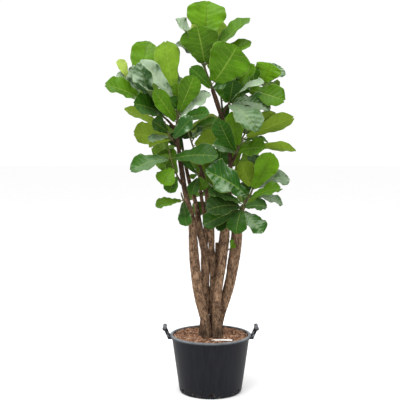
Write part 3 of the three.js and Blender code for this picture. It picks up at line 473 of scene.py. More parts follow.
class Nodes:
    """A material's node tree with short calls for the nodes used here."""

    def __init__(self, name):
        self.material = bpy.data.materials.new(name)
        self.material.use_nodes = True
        self.tree = self.material.node_tree
        self.shader = self.tree.nodes["Principled BSDF"]

    def new(self, kind, feeds=(), **settings):
        """A new node with its settings, and its inputs fed from (input, source) pairs."""
        node = self.tree.nodes.new(kind)
        for key, value in settings.items():
            setattr(node, key, value)
        for key, source in feeds:
            self.link(source, node.inputs[key])
        return node

    def link(self, source, target):
        """Feed a socket from another socket or with a fixed value."""
        if hasattr(source, "links"):
            self.tree.links.new(source, target)
        else:
            target.default_value = source

    def math(self, operation, a, b=0.0, clamp=False):
        feeds = enumerate((a, b))
        return self.new("ShaderNodeMath", feeds, operation=operation, use_clamp=clamp).outputs[0]

    def plus(self, a, b):
        return self.math("ADD", a, b)

    def times(self, a, b, clamp=False):
        return self.math("MULTIPLY", a, b, clamp)

    def ramp(self, value, low, high, to_low=0.0, to_high=1.0, smooth=True):
        feeds = (("Value", value), ("From Min", low), ("From Max", high), ("To Min", to_low),
                 ("To Max", to_high))
        kind = "SMOOTHSTEP" if smooth else "LINEAR"
        return self.new("ShaderNodeMapRange", feeds, clamp=True, interpolation_type=kind).outputs[0]

    def mix(self, colour, *layers):
        """A colour with layers of (share, colour) on it. Three numbers are sRGB of 0 to 255."""
        for share, layer in layers:
            a, b = (linear(value) if isinstance(value, tuple) and len(value) == 3 else value
                    for value in (colour, layer))
            feeds = (("Factor", share), (COLOUR_INPUTS[0], a), (COLOUR_INPUTS[1], b))
            node = self.new("ShaderNodeMix", feeds, data_type="RGBA", blend_type="MIX")
            colour = node.outputs[COLOUR_OUTPUT]
        return colour

    def brightened(self, colour, value):
        feeds = (("Color", colour), ("Value", value))
        return self.new("ShaderNodeHueSaturation", feeds).outputs[0]

    def attribute(self, name, output="Color"):
        return self.new("ShaderNodeAttribute", attribute_name=name).outputs[output]

    def split(self, vector):
        return self.new("ShaderNodeSeparateXYZ", ((0, vector),)).outputs

    def place(self, tall=1):
        """The place on the object in metres, with its height scaled by tall."""
        feeds = (("Vector", self.new("ShaderNodeTexCoord").outputs["Object"]), ("Scale", (1, 1, tall)))
        return self.new("ShaderNodeMapping", feeds, vector_type="POINT").outputs[0]

    def noise(self, scale, detail=3.0, rough=0.55, warp=0.0, tall=1):
        feeds = (("Vector", self.place(tall)), ("Scale", scale), ("Detail", detail),
                 ("Roughness", rough), ("Distortion", warp))
        return self.new("ShaderNodeTexNoise", feeds).outputs["Fac"]

    def cells(self, scale, feature="F1", tall=1):
        feeds = (("Vector", self.place(tall)), ("Scale", scale))
        return self.new("ShaderNodeTexVoronoi", feeds, feature=feature).outputs["Distance"]

    def bump(self, height, strength, distance):
        feeds = (("Height", height), ("Strength", strength), ("Distance", distance))
        self.link(self.new("ShaderNodeBump", feeds).outputs[0], self.shader.inputs["Normal"])

    def finish(self, colour, roughness, **fixed):
        self.link(colour, self.shader.inputs["Base Color"])
        self.link(roughness, self.shader.inputs["Roughness"])
        for name, value in fixed.items():
            self.shader.inputs[name.replace("_", " ")].default_value = value
        return self.material


LATERAL_VEINS = 8  # on each side of the midrib


def leaf_material(name, upper):
    """Leaf skin: its own colour, pale midrib and side veins, soft mottling and, on the upper side,
    patches of painted sheen: a pale painted highlight where it faces up.
    """
    n = Nodes(name)
    across, along, paleness = n.split(n.attribute("blade", "Vector"))
    out = n.math("ABSOLUTE", across)
    # side veins run out and forwards in arcs
    forward = n.times(n.math("POWER", out, 1.25), 0.2)
    phase = n.times(n.math("SUBTRACT", along, forward), LATERAL_VEINS)
    phase = n.plus(phase, n.times(n.noise(18, 1), 0.35))
    off = n.math("ABSOLUTE", n.math("SUBTRACT", n.math("FRACT", phase), 0.5))
    wide = n.ramp(out, 0, 1, 0.085, 0.03, smooth=False)
    side_vein = n.times(n.ramp(off, 0, wide, 1, 0), n.ramp(out, 0.85, 0.98, 0.8, 0))
    rib = n.ramp(out, 0.01, n.ramp(along, 0, 1, 0.12, 0.02, smooth=False), 1, 0)
    vein = n.math("MAXIMUM", rib, side_vein)
    net = n.ramp(n.cells(150, "DISTANCE_TO_EDGE"), 0, 0.09, 1, 0)
    cloud = n.noise(11, 3)
    fine = n.noise(90, 2)
    shade = n.ramp(cloud, 0.25, 0.75, *((0.78, 1.22) if upper else (0.88, 1.1)))
    shade = n.times(shade, n.ramp(fine, 0.3, 0.7, 0.92, 1.08))
    base = n.brightened(n.attribute("tint"), shade)
    if upper:
        # painted sheen: a pale painted highlight where the upper side faces up (the normal's upward
        # part), broken into patches along the veins and by noise; the tint's alpha says how much, and a
        # full amount lifts it even where the side faces sideways
        rise = n.split(n.new("ShaderNodeNewGeometry").outputs["Normal"])[2]
        sheen_breakup = n.plus(n.noise(22, 3, 0.55, 0.5), n.times(off, 0.6))
        sheen_breakup = n.plus(sheen_breakup, n.times(n.noise(75, 3, 0.6), 0.9))
        sheen_amount = n.attribute("tint", "Alpha")
        lit = n.plus(rise, n.times(n.math("SUBTRACT", sheen_breakup, 0.48), 0.6))
        lit = n.ramp(n.plus(lit, n.ramp(sheen_amount, 0.85, 1.0, 0, 0.85, smooth=False)), 0.64, 1.28)
        sheen = n.times(lit, sheen_amount)
        base = n.mix(base, (sheen, (148, 168, 140)))
    pale = n.mix(base, (0.6 if upper else 0.5, (182, 202, 96)))
    # veins with a paleness below 0 are dark, as part of the painted light shining through the leaf
    darkness = n.times(n.times(vein, paleness), -1.0, clamp=True)
    edge = n.ramp(out, 0.95, 1.0, 0, 0.42)
    colour = n.mix(base, (n.times(vein, paleness, clamp=True), pale), (darkness, (70, 74, 8)),
                   (n.times(net, 0.04), pale), (edge, (150, 162, 88)))
    rough = n.ramp(cloud, 0.3, 0.7, *((0.32, 0.44) if upper else (0.58, 0.7)))
    sunk = n.times(vein, -1.0 if upper else 1.0)
    n.bump(n.plus(sunk, n.times(n.plus(fine, net), 0.12)), 0.5, 0.0012)
    return n.finish(colour, rough, Specular_IOR_Level=0.1 if upper else 0.06)


def bark_material(name):
    """Grey-brown mottled bark with dark round knots, lighter plates and dark leaf scars."""
    n = Nodes(name)
    scar, upper_share, rim = n.split(n.attribute("bark", "Vector"))
    plates = n.noise(34, 5, 0.7, 0.4, tall=0.55)
    grain = n.noise(150, 4, 0.7, 0.6, tall=0.3)
    speck = n.noise(240, 2, 0.6)
    knots = n.ramp(n.cells(30, tall=0.75), 0.10, 0.26, 1, 0)
    low = n.times(n.ramp(n.split(n.place())[2], 0.35, 0.54, 0.85, 0), n.ramp(plates, 0.3, 0.6, 1, 0.6))
    colour = n.mix((74, 53, 39), (n.ramp(plates, 0.34, 0.64), (148, 118, 92)),
                   (n.times(n.ramp(grain, 0.53, 0.39), 0.88), (40, 28, 20)),
                   (n.times(knots, 0.4), (42, 31, 24)),
                   (n.times(n.ramp(speck, 0.56, 0.68), 0.6), (178, 152, 128)),
                   # the bark is darker higher up the stems
                   (n.times(upper_share, 0.8), (44, 31, 22)), (low, (46, 37, 30)),
                   (scar, (44, 33, 27)), (rim, (176, 146, 108)))
    n.bump(n.plus(n.plus(grain, n.times(knots, -0.5)), n.times(speck, 0.25)), 1.0, 0.004)
    return n.finish(colour, n.ramp(plates, 0.3, 0.7, 0.92, 0.8), Specular_IOR_Level=0.1)


def twig_material(name):
    """Young green-brown shoot wood with papery brown sheaths."""
    n = Nodes(name)
    sheath, upper_share, _ = n.split(n.attribute("bark", "Vector"))
    grain = n.noise(160, 4, 0.6, tall=0.3)
    colour = n.mix((36, 25, 17), (n.ramp(grain, 0.35, 0.65), (80, 60, 42)),
                   (n.times(upper_share, 0.8), (90, 104, 40)), (sheath, (74, 50, 32)))
    n.bump(grain, 0.5, 0.0015)
    return n.finish(colour, 0.6, Specular_IOR_Level=0.35)


def soil_material(name):
    """Bark and coco chips: each has its own brown, with fibres along it."""
    n = Nodes(name)
    grain = n.noise(220, 4, 0.65)
    colour = n.mix(n.attribute("tint"), (n.times(n.ramp(grain, 0.6, 0.35), 0.5), (66, 48, 36)))
    n.bump(grain, 0.7, 0.002)
    return n.finish(colour, 0.92, Specular_IOR_Level=0.15)


def pot_material(name):
    """Anthracite moulded plastic with a fine grain, faint upright scuffs and a painted pale highlight on
    the rim's lip and the grips' tops.
    """
    n = Nodes(name)
    height = n.split(n.place())[2]
    scuff = n.noise(45, 4, 0.6, tall=0.08)
    highlight_breakup = n.noise(16, 4, 0.6, 0.5)
    grain = n.noise(900, 2)
    # painted highlight: a pale band along the rim's lip and on the tops of the grips, broken up by noise
    rim = n.times(n.ramp(height, 0.340, 0.354), n.ramp(height, 0.362, 0.357))
    rim = n.math("MAXIMUM", rim, n.ramp(height, 0.388, 0.402, 0, 0.7))
    rim = n.times(rim, n.ramp(highlight_breakup, 0.3, 0.6, 0.5, 0.95))
    splash = n.times(n.ramp(height, 0.07, 0.0), n.ramp(n.noise(70, 3), 0.6, 0.7))
    colour = n.mix((23, 24, 28), (n.ramp(scuff, 0.35, 0.75), (31, 32, 37)), (rim, (116, 120, 124)),
                   (n.times(splash, 0.6), (112, 98, 84)))
    rough = n.ramp(scuff, 0.3, 0.7, 0.42, 0.56)
    n.bump(n.plus(grain, n.times(scuff, 0.6)), 0.25, 0.0006)
    return n.finish(colour, rough, Specular_IOR_Level=0.1)


def label_material(name):
    n = Nodes(name)
    grain = n.noise(60, 2)
    colour = n.mix((240, 240, 236), (n.ramp(grain, 0.3, 0.7), (250, 250, 248)))
    n.bump(grain, 0.1, 0.0005)
    return n.finish(colour, 0.35, Specular_IOR_Level=0.5)


def floor_material(name):
    n = Nodes(name)
    grain = n.noise(3, 2)
    colour = n.mix((0.93, 0.93, 0.93, 1), (n.ramp(grain, 0.3, 0.7), (0.95, 0.95, 0.95, 1)))
    return n.finish(colour, 0.9, Specular_IOR_Level=0.0)


leaf_upper = leaf_material("leaf_upper", True)
leaf_under = leaf_material("leaf_under", False)
bark = bark_material("bark")
twig_skin = twig_material("twig")
soil_mix = soil_material("soil_mix")
pot_plastic = pot_material("pot_plastic")
label_plastic = label_material("label_plastic")

# ---------------- pot

POT_HEIGHT = 355
RIM_RADIUS = 250
RIM_INNER = RIM_RADIUS - 17  # the rolled rim is 17 wide
WALL_TOP = RIM_RADIUS - 11  # the rim's lip stands 11 out from the wall
FOOT_RADIUS = 194
LIP_BASE = 335  # the height of the lip's lower edge
WALL = 5
POT_SIDES = 144
POT_SHARP = math.radians(50)  # edges that bend by more than this look sharp
DRAINS, DRAIN_RADIUS, DRAIN_HEIGHT = 6, 9, 28.0
DRAIN_REACH = (160.0, 215.0)  # from the pot's axis
DRAIN_SIDES = 20


def arc(centre, radius, start, stop, count):
    """Points of an arc from one angle to another, in degrees."""
    angles = np.radians(np.linspace(start, stop, count))
    return [(centre[0] + radius * math.cos(t), centre[1] + radius * math.sin(t)) for t in angles]


def pot_profile():
    """The pot's outline of (radius, height), from the middle of its underside round to its inside."""
    outline = [(0.5, 0), (120, 0)]
    outline += arc((FOOT_RADIUS - 15, 14.5), 14.5, -88, -8, 8)
    for share in np.linspace(0.06, 0.97, 16):
        outline.append((FOOT_RADIUS + (WALL_TOP - FOOT_RADIUS) * share, 14 + (LIP_BASE - 17) * share))
    outline += [(WALL_TOP + 1.5, LIP_BASE + 0.5), (WALL_TOP + 4, LIP_BASE + 1.5)]
    outline += arc((RIM_RADIUS - 5, LIP_BASE + 6), 5, -80, 0, 5)
    outline += arc((RIM_RADIUS - 6, POT_HEIGHT - 6), 6, 5, 85, 7)
    outline += arc((RIM_INNER + 3, POT_HEIGHT - 3.2), 3, 95, 175, 5)
    outline += [(RIM_INNER - 0.8, LIP_BASE + 2), (WALL_TOP - WALL - 0.5, LIP_BASE - 6)]
    outline += [(FOOT_RADIUS - WALL + 3, 22), (FOOT_RADIUS - 14, WALL), (0.5, WALL)]
    return outline


def apply_modifiers(thing):
    """Make the object's modifiers part of its mesh."""
    graph = bpy.context.evaluated_depsgraph_get()
    mesh = bpy.data.meshes.new_from_object(thing.evaluated_get(graph))
    old = thing.data
    thing.modifiers.clear()
    thing.data = mesh
    bpy.data.meshes.remove(old)


def rounded_box(size, bevel):
    """A box with rounded edges, as points and faces."""
    shape = bmesh.new()
    bmesh.ops.create_cube(shape, size=1)
    for vert in shape.verts:
        vert.co = Vector([c * s for c, s in zip(vert.co, size)])
    bmesh.ops.bevel(shape, geom=list(shape.edges), offset=bevel, segments=3, profile=0.6,
                    affect="EDGES")
    points = np.array([vert.co[:] for vert in shape.verts])
    faces = [tuple(vert.index for vert in face.verts) for face in shape.faces]
    shape.free()
    return points, faces


HANDLE_SPREAD = 38  # from the pot's middle plane to each arm's middle
HANDLE_ROOT = np.array([258.0, 338.0])  # radius and height
HANDLE_TOP = np.array([284.0, 396.0])
ARM_SIZE, ARM_BEVEL = (12.6, 11.6), 2.6
FOOT_SIZE, FOOT_BEVEL, FOOT_INSET = (27.6, 17.6, 15.6), 3.4, 7.5
GRIP_RADIUS, GRIP_OVERHANG, GRIP_SIDES = 12.8, 12, 28


def add_handle(piece, way):
    """Two leaning arms on small feet and a round grip with rounded ends, on the side x = way."""
    lean = math.atan2(*(HANDLE_TOP - HANDLE_ROOT))
    length = np.linalg.norm(HANDLE_TOP - HANDLE_ROOT)
    middle = (HANDLE_TOP + HANDLE_ROOT) / 2
    turn = np.array([[math.cos(lean), 0, math.sin(lean)], [0, 1, 0],
                     [-math.sin(lean), 0, math.cos(lean)]])

    def add(points, faces):
        piece.add(points * [way, 1, 1], faces if way > 0 else [face[::-1] for face in faces])

    for end in (-1, 1):
        points, faces = rounded_box((*ARM_SIZE, length), ARM_BEVEL)
        add(points @ turn.T + [middle[0], end * HANDLE_SPREAD, middle[1]], faces)
        points, faces = rounded_box(FOOT_SIZE, FOOT_BEVEL)
        add(points + [HANDLE_ROOT[0] - FOOT_INSET, end * HANDLE_SPREAD, HANDLE_ROOT[1]], faces)
    half = HANDLE_SPREAD + GRIP_OVERHANG
    # along the grip: (y, how much thinner than its full radius)
    rows = [(-half, 4), (-half + 1.2, 1.6), (-half + 4, 0), (-half + 16, 0), (-half + 18, 1.4),
            (half - 18, 1.4), (half - 16, 0), (half - 4, 0), (half - 1.2, 1.6), (half, 4)]
    points = [(HANDLE_TOP[0] + (GRIP_RADIUS - less) * math.cos(t), y,
               HANDLE_TOP[1] + (GRIP_RADIUS - less) * math.sin(t))
              for y, less in rows for t in turns(GRIP_SIDES)]
    add(np.array(points), [face[::-1] for face in tube_faces(len(rows), GRIP_SIDES)])


outline = pot_profile()
shell = Piece("pot_shell")
shell.add(revolve(outline, POT_SIDES), tube_faces(len(outline), POT_SIDES))
pot = shell.build(pot_plastic)
for number in range(DRAINS):
    turn = (number + 0.5) / DRAINS * 2 * math.pi
    path = np.array([(r * math.cos(turn), r * math.sin(turn), DRAIN_HEIGHT) for r in DRAIN_REACH])
    drain = Piece("drain_cutter")
    drain.add(tube(path, [DRAIN_RADIUS, DRAIN_RADIUS], DRAIN_SIDES), tube_faces(2, DRAIN_SIDES))
    cutter = drain.build(pot_plastic)
    cut = pot.modifiers.new("drain", "BOOLEAN")
    cut.operation, cut.object, cut.solver = "DIFFERENCE", cutter, "EXACT"
    apply_modifiers(pot)
    bpy.data.objects.remove(cutter)
pot.data.polygons.foreach_set("use_smooth", [True] * len(pot.data.polygons))
pot.data.set_sharp_from_angle(angle=POT_SHARP)
place_piece(pot, "pot")
for name, way in (("handle_right", 1), ("handle_left", -1)):
    piece = Piece(name)
    add_handle(piece, way)
    handle = piece.build(pot_plastic)
    handle.data.set_sharp_from_angle(angle=POT_SHARP)
    place_piece(handle, "pot")

# ---------------- soil

SOIL_LEVEL, SOIL_DOME, SOIL_BANK, SOIL_BUMPS = 338, 8, 5, 3
SOIL_EDGE = 229.5  # the radius at the top
SOIL_UNDERSIDE = ((1, 21), (186, 21), (SOIL_EDGE, 322))  # radius and height, up to the top's edge


def soil_height(x, y):
    """The soil's level: higher in the middle and by the pot's wall, with low bumps."""
    out = np.minimum(np.hypot(x, y) / RIM_INNER, 1)
    bumps = np.sin(x * 0.061 + 1) * np.cos(y * 0.053) + np.sin((x + y) * 0.09) * 0.6
    return (SOIL_LEVEL + SOIL_DOME * (1 - out * out) + SOIL_BANK * smoothstep(0.78, 0.98, out)
            + SOIL_BUMPS * bumps)


CHIP_COLOURS = [(184, 142, 110), (164, 118, 90), (140, 98, 76), (204, 164, 134), (106, 74, 58),
                (176, 130, 100), (152, 110, 86), (220, 188, 160), (80, 56, 44), (170, 130, 104)]
CHIPS, CHIP_SEED = 4200, 11
SLIVER_SHARE = 0.12  # of the chips are long and thin
BED_SIDES, BED_RINGS, BED_COLOUR = 96, 40, (74, 50, 38)
BED_DEPTH = 3.5  # the bed under the chips lies this much below the soil's level
LABEL_LENGTH, LABEL_WIDTH, LABEL_CENTRE = 130, 20, (64, -132)
LABEL_TILT, LABEL_TURN = math.radians(5), math.radians(-1.5)
LABEL_THICK, LABEL_BOW, LABEL_CROWN = 1.2, 1.2, 0.5
LABEL_POINT, LABEL_ROUNDING = 18, 3  # lengths of its pointed and its rounded end
LABEL_SHARP = math.radians(40)
LABEL_CLEAR = (70, 14)  # no chip lies nearer to the label's centre in x and y
STEM_FEET = [limbs[0][0] for limbs in STEMS.values()]


def add_soil_bed(piece):
    """The filled bed under the chips, with a rough top."""
    points = revolve(SOIL_UNDERSIDE, BED_SIDES)
    for share in np.linspace(1, 0.01, BED_RINGS):
        for t in turns(BED_SIDES):
            x, y = SOIL_EDGE * share * math.cos(t), SOIL_EDGE * share * math.sin(t)
            rough = 3 * noise.noise(Vector((x, y, 0)) * 0.09) + 2 * noise.noise(Vector((x, y, 7)) * 0.3)
            points.append((x, y, soil_height(x, y) - BED_DEPTH + rough))
    rings = len(SOIL_UNDERSIDE) + BED_RINGS
    piece.add(points, tube_faces(rings, BED_SIDES), tint=linear(BED_COLOUR))


def add_chips(piece, count):
    """Loose chips all over the bed: each is a small box with shifted corners."""
    rng = random.Random(CHIP_SEED)
    corners = np.array([(a, b, c) for a in (-1, 1) for b in (-1, 1) for c in (-1, 1)], float)
    faces = [(0, 1, 3, 2), (4, 6, 7, 5), (0, 4, 5, 1), (2, 3, 7, 6), (0, 2, 6, 4), (1, 5, 7, 3)]
    placed = 0
    while placed < count:
        out, turn = (SOIL_EDGE - 2) * math.sqrt(rng.random()), rng.random() * 2 * math.pi
        x, y = out * math.cos(turn), out * math.sin(turn)
        if abs(x - LABEL_CENTRE[0]) < LABEL_CLEAR[0] and abs(y - LABEL_CENTRE[1]) < LABEL_CLEAR[1]:
            continue
        if any(math.hypot(x - foot_x - PLANT_SHIFT, y - depth) < radius * 0.9
               for foot_x, _, depth, radius in STEM_FEET):
            continue
        size = rng.random()
        half = np.array([rng.uniform(3, 6 + 6 * size), rng.uniform(1.6, 4.0), rng.uniform(0.8, 2.0)])
        if rng.random() < SLIVER_SHARE:
            half = np.array([rng.uniform(9, 16), rng.uniform(0.7, 1.2), rng.uniform(0.5, 0.9)])
        shape = corners * half
        shape += np.array([[rng.uniform(-0.35, 0.35) * h for h in half] for _ in corners])
        yaw, pitch, roll = rng.random() * 2 * math.pi, rng.gauss(0, 0.32), rng.gauss(0, 0.45)
        reach = out + half[0] * abs(math.cos(yaw - turn))
        if reach > SOIL_EDGE + 0.5:
            continue
        for angle, (i, j) in ((roll, (1, 2)), (pitch, (2, 0)), (yaw, (0, 1))):
            c, s = math.cos(angle), math.sin(angle)
            a, b = shape[:, i].copy(), shape[:, j].copy()
            shape[:, i], shape[:, j] = a * c - b * s, a * s + b * c
        lift = rng.uniform(-2.5, 2.5)
        shape += [x, y, soil_height(x, y) + lift]
        tint = np.array(linear(rng.choice(CHIP_COLOURS)))
        tint[:3] *= rng.uniform(0.7, 1.15)
        piece.add(shape, faces, 0, True, tint=tint)
        placed += 1


soil = Piece("soil_mix")
add_soil_bed(soil)
add_chips(soil, CHIPS)
place_piece(soil.build(soil_mix), "soil")

# ---------------- label


def add_label(piece):
    """A thin bowed strip with a pointed end, at the same height as the label's solid."""
    length, stations, columns = LABEL_LENGTH, 29, 7
    across = np.linspace(-1, 1, columns)
    top, low = [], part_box("plant_label")[0].z / MM
    for x in np.linspace(-length / 2, length / 2, stations):
        half = LABEL_WIDTH / 2 * min(1, max(0.03, (x + length / 2) / LABEL_POINT))
        half -= 2.5 * max(0, (x - (length / 2 - LABEL_ROUNDING)) / LABEL_ROUNDING) ** 2
        bow = LABEL_BOW * (1 - (2 * x / length) ** 2)
        top += [(x, v * half, bow + LABEL_CROWN * (1 - v * v)) for v in across]
    top = np.array(top)
    points = np.vstack([top + [0, 0, LABEL_THICK], top])
    c, s = math.cos(LABEL_TILT), math.sin(LABEL_TILT)
    points = points @ np.array([[1, 0, 0], [0, c, -s], [0, s, c]]).T
    c, s = math.cos(LABEL_TURN), math.sin(LABEL_TURN)
    points = points @ np.array([[c, -s, 0], [s, c, 0], [0, 0, 1]]).T
    points += [LABEL_CENTRE[0], LABEL_CENTRE[1], low - points[:, 2].min()]
    piece.add(points, sheet_faces(stations, columns)[0])


piece = Piece("plant_label_strip")
add_label(piece)
label = piece.build(label_plastic)
label.data.set_sharp_from_angle(angle=LABEL_SHARP)
place_piece(label, "plant_label")

# ---------------- stems

TRUNK_SIDES, TRUNK_STEP, TRUNK_RIDGE = 36, 7, 1.6
BRANCH_SIDES, BRANCH_STEP, BRANCH_RIDGE = 20, 5, 0.9
STEM_SEED = 40  # the first stem's
FULL_RELIEF = 20  # the radius from which a limb's relief has its full depth
SCAR_SHARE, SCAR_DEPTH = 0.8, 1.3
DARKER_FROM, DARKER_TO = 1060, 1420  # heights between which the bark turns darker
# the roots' flare: its start, the height where it is full, how fast it fades above, its reach
FLARE_FROM, FLARE_FULL, FLARE_FADE, FLARE_REACH = 300, 335, 24, 0.22
ROOT_SIDES, ROOT_STEP = 7, 5


def limb(piece, rows, rng, sides, step, ridge, cut_top=False):
    """A woody limb with upright ridges, node rings, leaf scars and a flare at the soil."""
    path, radii = limb_line(rows, step)
    run = np.concatenate([[0], np.cumsum(np.linalg.norm(np.diff(path, axis=0), axis=1))])
    turn = turns(sides)
    shape = np.zeros((len(path), sides))
    scar = np.zeros((len(path), sides))
    seed = rng.uniform(0, 100)
    for i, along in enumerate(run):
        size = ridge * min(1.0, radii[i] / FULL_RELIEF)
        for j, t in enumerate(turn):
            c, s = math.cos(t), math.sin(t)
            upright = noise.noise(Vector((c * 2.4, s * 2.4, along * 0.008 + seed)))
            plates = noise.noise(Vector((c * 6, s * 6, along * 0.03 + seed)))
            grit = noise.noise(Vector((c * 12, s * 12, along * 0.09 + seed)))
            shape[i, j] = size * (1.9 * upright + 1.2 * plates + 0.7 * grit)
    place = rng.uniform(20, 60)
    while place < run[-1] - 10:
        ring = np.exp(-((run - place) / 4.5) ** 2)
        radius = np.interp(place, run, radii)
        relief = min(1, radius / FULL_RELIEF)
        part = 0.5 + 0.5 * np.cos(turn - rng.uniform(0, 6.3))
        shape += ring[:, None] * (0.25 + 0.75 * part)[None, :] * ridge * 0.9 * relief
        if rng.random() < SCAR_SHARE:
            middle = rng.uniform(0, 2 * math.pi)
            off = (turn - middle + math.pi) % (2 * math.pi) - math.pi
            wide, tall = rng.uniform(5, 8), rng.uniform(3, 4.5)
            away = (off[None, :] * radius / wide) ** 2 + ((run[:, None] - place - 6) / tall) ** 2
            spot = np.exp(-away ** 1.5)
            shape -= spot * SCAR_DEPTH * relief
            scar = np.maximum(scar, spot * rng.uniform(0.5, 1))
        place += rng.uniform(26, 62) * (0.6 + 0.4 * radius / 25)
    height = path[:, 2]
    flare = np.exp(-np.maximum(height - FLARE_FULL, 0) / FLARE_FADE) * (height > FLARE_FROM)
    roots = 0.5 + 0.5 * np.sin(4 * turn + seed + 1.5 * np.sin(2 * turn + seed))
    shape += flare[:, None] * roots[None, :] ** 2 * radii[:, None] * FLARE_REACH
    radii = radii * (1 + 0.05 * flare)
    points = tube(path, radii, sides, shape)
    faces = tube_faces(len(path), sides)
    upper_share = np.repeat(smoothstep(DARKER_FROM, DARKER_TO, height), sides)
    rim = np.zeros(len(points))
    if cut_top:
        # the cut face has points of its own, so that its pale wood ends at the edge
        inner = points[-sides:] * 0.5 + path[-1] * 0.5
        points = np.vstack([points, points[-sides:], inner])
        last = len(path) * sides
        faces = faces[:-1] + ring_faces(last - sides, last, sides)
        faces += ring_faces(last, last + sides, sides)
        faces.append(tuple(last + sides + j for j in range(sides)))
        upper_share = np.concatenate([upper_share, np.zeros(2 * sides)])
        rim = np.concatenate([rim, np.ones(2 * sides)])
    scars = np.concatenate([scar.ravel(), np.zeros(len(points) - scar.size)])
    piece.add(points, faces, bark=np.column_stack([scars, upper_share, rim]))


# Thin roots at the soil: the stem, the radius and the points (x, y, z) without the plant's shift.
THIN_ROOTS = (
    ("stem_a", 1.7, ((-52, -60, 418), (-44, -66, 392), (-30, -71, 368), (-10, -74, 348),
                     (2, -78, 336))),
    ("stem_d", 1.3, ((12, -68, 372), (10, -70, 352), (16, -74, 336))),
    ("stem_d", 1.2, ((46, -62, 366), (40, -68, 350), (30, -76, 338))),
)


def thin_root(piece, points, radius):
    """A thin root that gets thinner as it runs down into the soil."""
    line = smooth_path([(x + PLANT_SHIFT, y, z, radius) for x, y, z in points], ROOT_STEP)
    grown = tube(line[:, :3], line[:, 3] * np.linspace(1.1, 0.7, len(line)), ROOT_SIDES)
    piece.add(grown, tube_faces(len(line), ROOT_SIDES), bark=(0, 0, 0.75))


for number, (name, (trunk, *branches)) in enumerate(STEMS.items()):
    x, _, depth, radius = trunk[0]
    trunk = ((x, STEM_FOOT, depth, radius), *trunk)
    rng = random.Random(STEM_SEED + number)
    piece = Piece(name + "_bark")
    limb(piece, trunk, rng, TRUNK_SIDES, TRUNK_STEP, TRUNK_RIDGE, cut_top=name == "stem_e")
    for branch in branches:
        limb(piece, branch, rng, BRANCH_SIDES, BRANCH_STEP, BRANCH_RIDGE)
    for stem, radius, points in THIN_ROOTS:
        if stem == name:
            thin_root(piece, points, radius)
    place_piece(piece.build(bark), name)

# ---------------- leaves

STALK_SHARE = 0.11  # of a leaf's length
STALK_OVER_BLADE = 0.03  # how much further the stalk runs on under the blade
STALK_SIDES, STALK_RINGS, STALK_AT_MOST = 10, 8, 3.2
FULLNESS = 1.12  # a blade's width for each millimetre that is listed
BLADE_HALF = 0.4  # half a blade's thickness
RIB_DEPTH, RIB_WIDTH = 2.4, 3.5
EDGE_TURNS, FINE_EDGE_TURNS, WAVE_TURNS, FINE_WAVE_TURNS = 11, 29, 14, 33  # radians over a blade
LEAVES_AT_MOST = 20  # on one shoot, so that each leaf has draws of its own
FOLD, WAVE, PHASE, SWEEP, NOTCH, SHADE = range(1, 7)  # what a leaf's draws are for
TWIG_SIDES, TWIG_STEP = 14, 6
BUD_SIDES, BUD_RINGS = 10, 9
# half of the blade's outline: (share of its length, share of half its width)
half_width = smooth_table([(0, 0.16), (0.05, 0.31), (0.2, 0.49), (0.4, 0.71), (0.64, 0.99),
                           (0.79, 0.98), (0.89, 0.86), (0.96, 0.64), (1.0, 0.32)])
# the columns of points across a blade, closer at the midrib and at the edges
COLUMNS = np.array([-1, -0.88, -0.73, -0.57, -0.41, -0.26, -0.13, -0.045, 0,
                    0.045, 0.13, 0.26, 0.41, 0.57, 0.73, 0.88, 1])


def place_on(route, count):
    """The place on a twig's route, with the route's points counted from 0."""
    first = min(int(count), len(route) - 2)
    a, b = (seen(x, z, y) for x, z, y, _ in route[first:first + 2])
    return a + (b - a) * (count - first)


